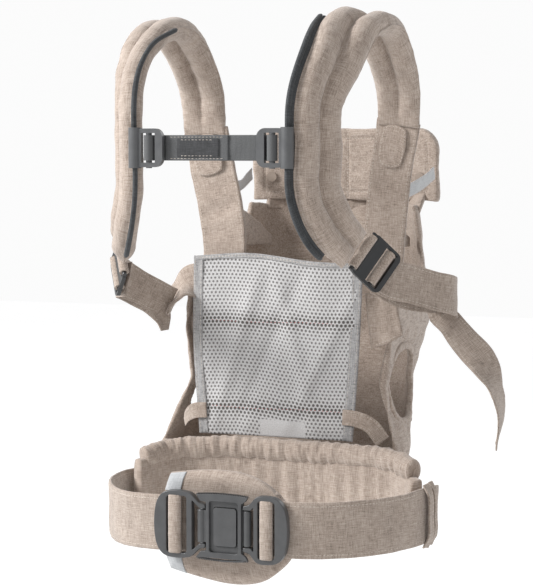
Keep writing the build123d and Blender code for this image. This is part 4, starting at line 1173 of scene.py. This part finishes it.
def wrap_folds(far, a):
    return 0.25 * ripple(far, a * 8, 3, 14)


for side, x in (("left", -30.5), ("right", 66.5)):
    low, middle, high = (x, -139.5, BUCKLE_Z - 28), (x, -140.3, BUCKLE_Z), (x, -139.5, BUCKLE_Z + 28)
    route = Line(facing_back(13.5, low, middle, high))
    wrap = strip(f"buckle_wrap_{side}", route, 9, 20, 2.4, wrap_folds)
    finish_piece(wrap, STRAP, "fabric", "harness", f"waist_loop_{side}")
for label, y, wide in (("keeper_outer", -27, 11), ("keeper_inner", -11, 7)):
    places = ((194.5, 94, -0.2), (199, 84, -0.15), (200, 62, -0.15), (199, 40, -0.15), (194.5, 31, -0.2))
    around = [((x, y, z), (1, back, 0), wide) for x, z, back in places]
    folded_strap(label, around, 2.2, STRAP, "fabric", "harness", [], 5, 0.4, 1.8)

# ---- moulded and small pieces straight from the CAD
HARD = {"waist_buckle_button": BUCKLE, "waist_buckle_pin": STEEL}
for pair, material in (
    ("chest_slider", SLIDER),
    ("ladder_buckle", LADDER),
    ("head_stud", SNAP),
    ("chest_loop", GREY_WEBBING),
    ("pad_loop", STRAP_BODY),
    ("webbing_turn", STRAP_BODY),
):
    HARD[f"{pair}_left"] = HARD[f"{pair}_right"] = material
for node, material in HARD.items():
    obj = NODES[node]
    obj.data.materials.clear()
    obj.data.materials.append(material)
    smooth(obj.data)
    bevel = obj.modifiers.new("edges", "BEVEL")
    bevel.width = 0.6 * MM
    bevel.segments = 2
    bevel.limit_method = "ANGLE"
    bevel.angle_limit = math.radians(40)
    bevel.harden_normals = True

# ---- stage, light and camera
bpy.ops.mesh.primitive_plane_add(size=12, location=(0, 0, -0.3))
floor = bpy.context.object
floor.name = "floor"
pale, pale_tree, pale_shader = nodes_of("pale_floor")
surface_finish(pale_shader, 0.9, 0.1)
tone = noise(pale_tree, coordinates(pale_tree, False), 0.02, 2)
shade = ramp(pale_tree, tone, [(0.2, (0.34, 0.34, 0.34)), (0.8, (0.36, 0.36, 0.36))])
pale_tree.links.new(shade, pale_shader.inputs["Base Color"])
pale_shader.inputs["Emission Color"].default_value = (1, 1, 1, 1)
pale_shader.inputs["Emission Strength"].default_value = 0.76
floor.data.materials.append(pale)
world = bpy.data.worlds.new("studio")
world.use_nodes = True
sky = world.node_tree
direction = sky.nodes.new("ShaderNodeTexCoord")
toward = sky.nodes.new("ShaderNodeVectorMath")
toward.operation = "DOT_PRODUCT"
# Brightest where the camera looks and dimmer behind it: a pale backdrop and soft light on the near side.
toward.inputs[1].default_value = (-0.357, 0.93, -0.08)
sky.links.new(direction.outputs["Generated"], toward.inputs[0])
glow = ramp(sky, toward.outputs["Value"], [(0.5, (0.58, 0.58, 0.585)), (0.9, (0.97, 0.97, 0.97))])
sky.links.new(glow, sky.nodes["Background"].inputs["Color"])
sky.nodes["Background"].inputs["Strength"].default_value = 1.0
bpy.context.scene.world = world
bpy.context.scene.view_settings.view_transform = "Standard"
LAMPS_AIM = Vector((0, 0, 0.3))
for label, place, size, power in (
    ("key", (-1.7, -1.1, 1.6), 0.9, 84),
    ("fill", (1.9, -1.2, 1.1), 1.8, 3),
    ("front", (0.8, 2.2, 1.6), 1.4, 12),
):
    lamp = bpy.data.lights.new(label, "AREA")
    lamp.energy = power
    lamp.size = size
    holder = add(label, lamp)
    holder.location = place
    holder.rotation_euler = (LAMPS_AIM - Vector(place)).to_track_quat("-Z", "Y").to_euler()
AROUND, ABOVE = math.radians(21), math.radians(4.5)
LOOK_AT = Vector((0.013, 0, 0.280))
CAMERA_DISTANCE = 1.95
back = Vector((math.sin(AROUND) * math.cos(ABOVE), -math.cos(AROUND) * math.cos(ABOVE), math.sin(ABOVE)))
lens = bpy.data.cameras.new("photo_view")
lens.lens = 114.9
lens.sensor_width = 36
camera = add("photo_view", lens)
camera.location = LOOK_AT + back * CAMERA_DISTANCE
camera.rotation_euler = (-back).to_track_quat("-Z", "Y").to_euler()
bpy.context.scene.camera = camera
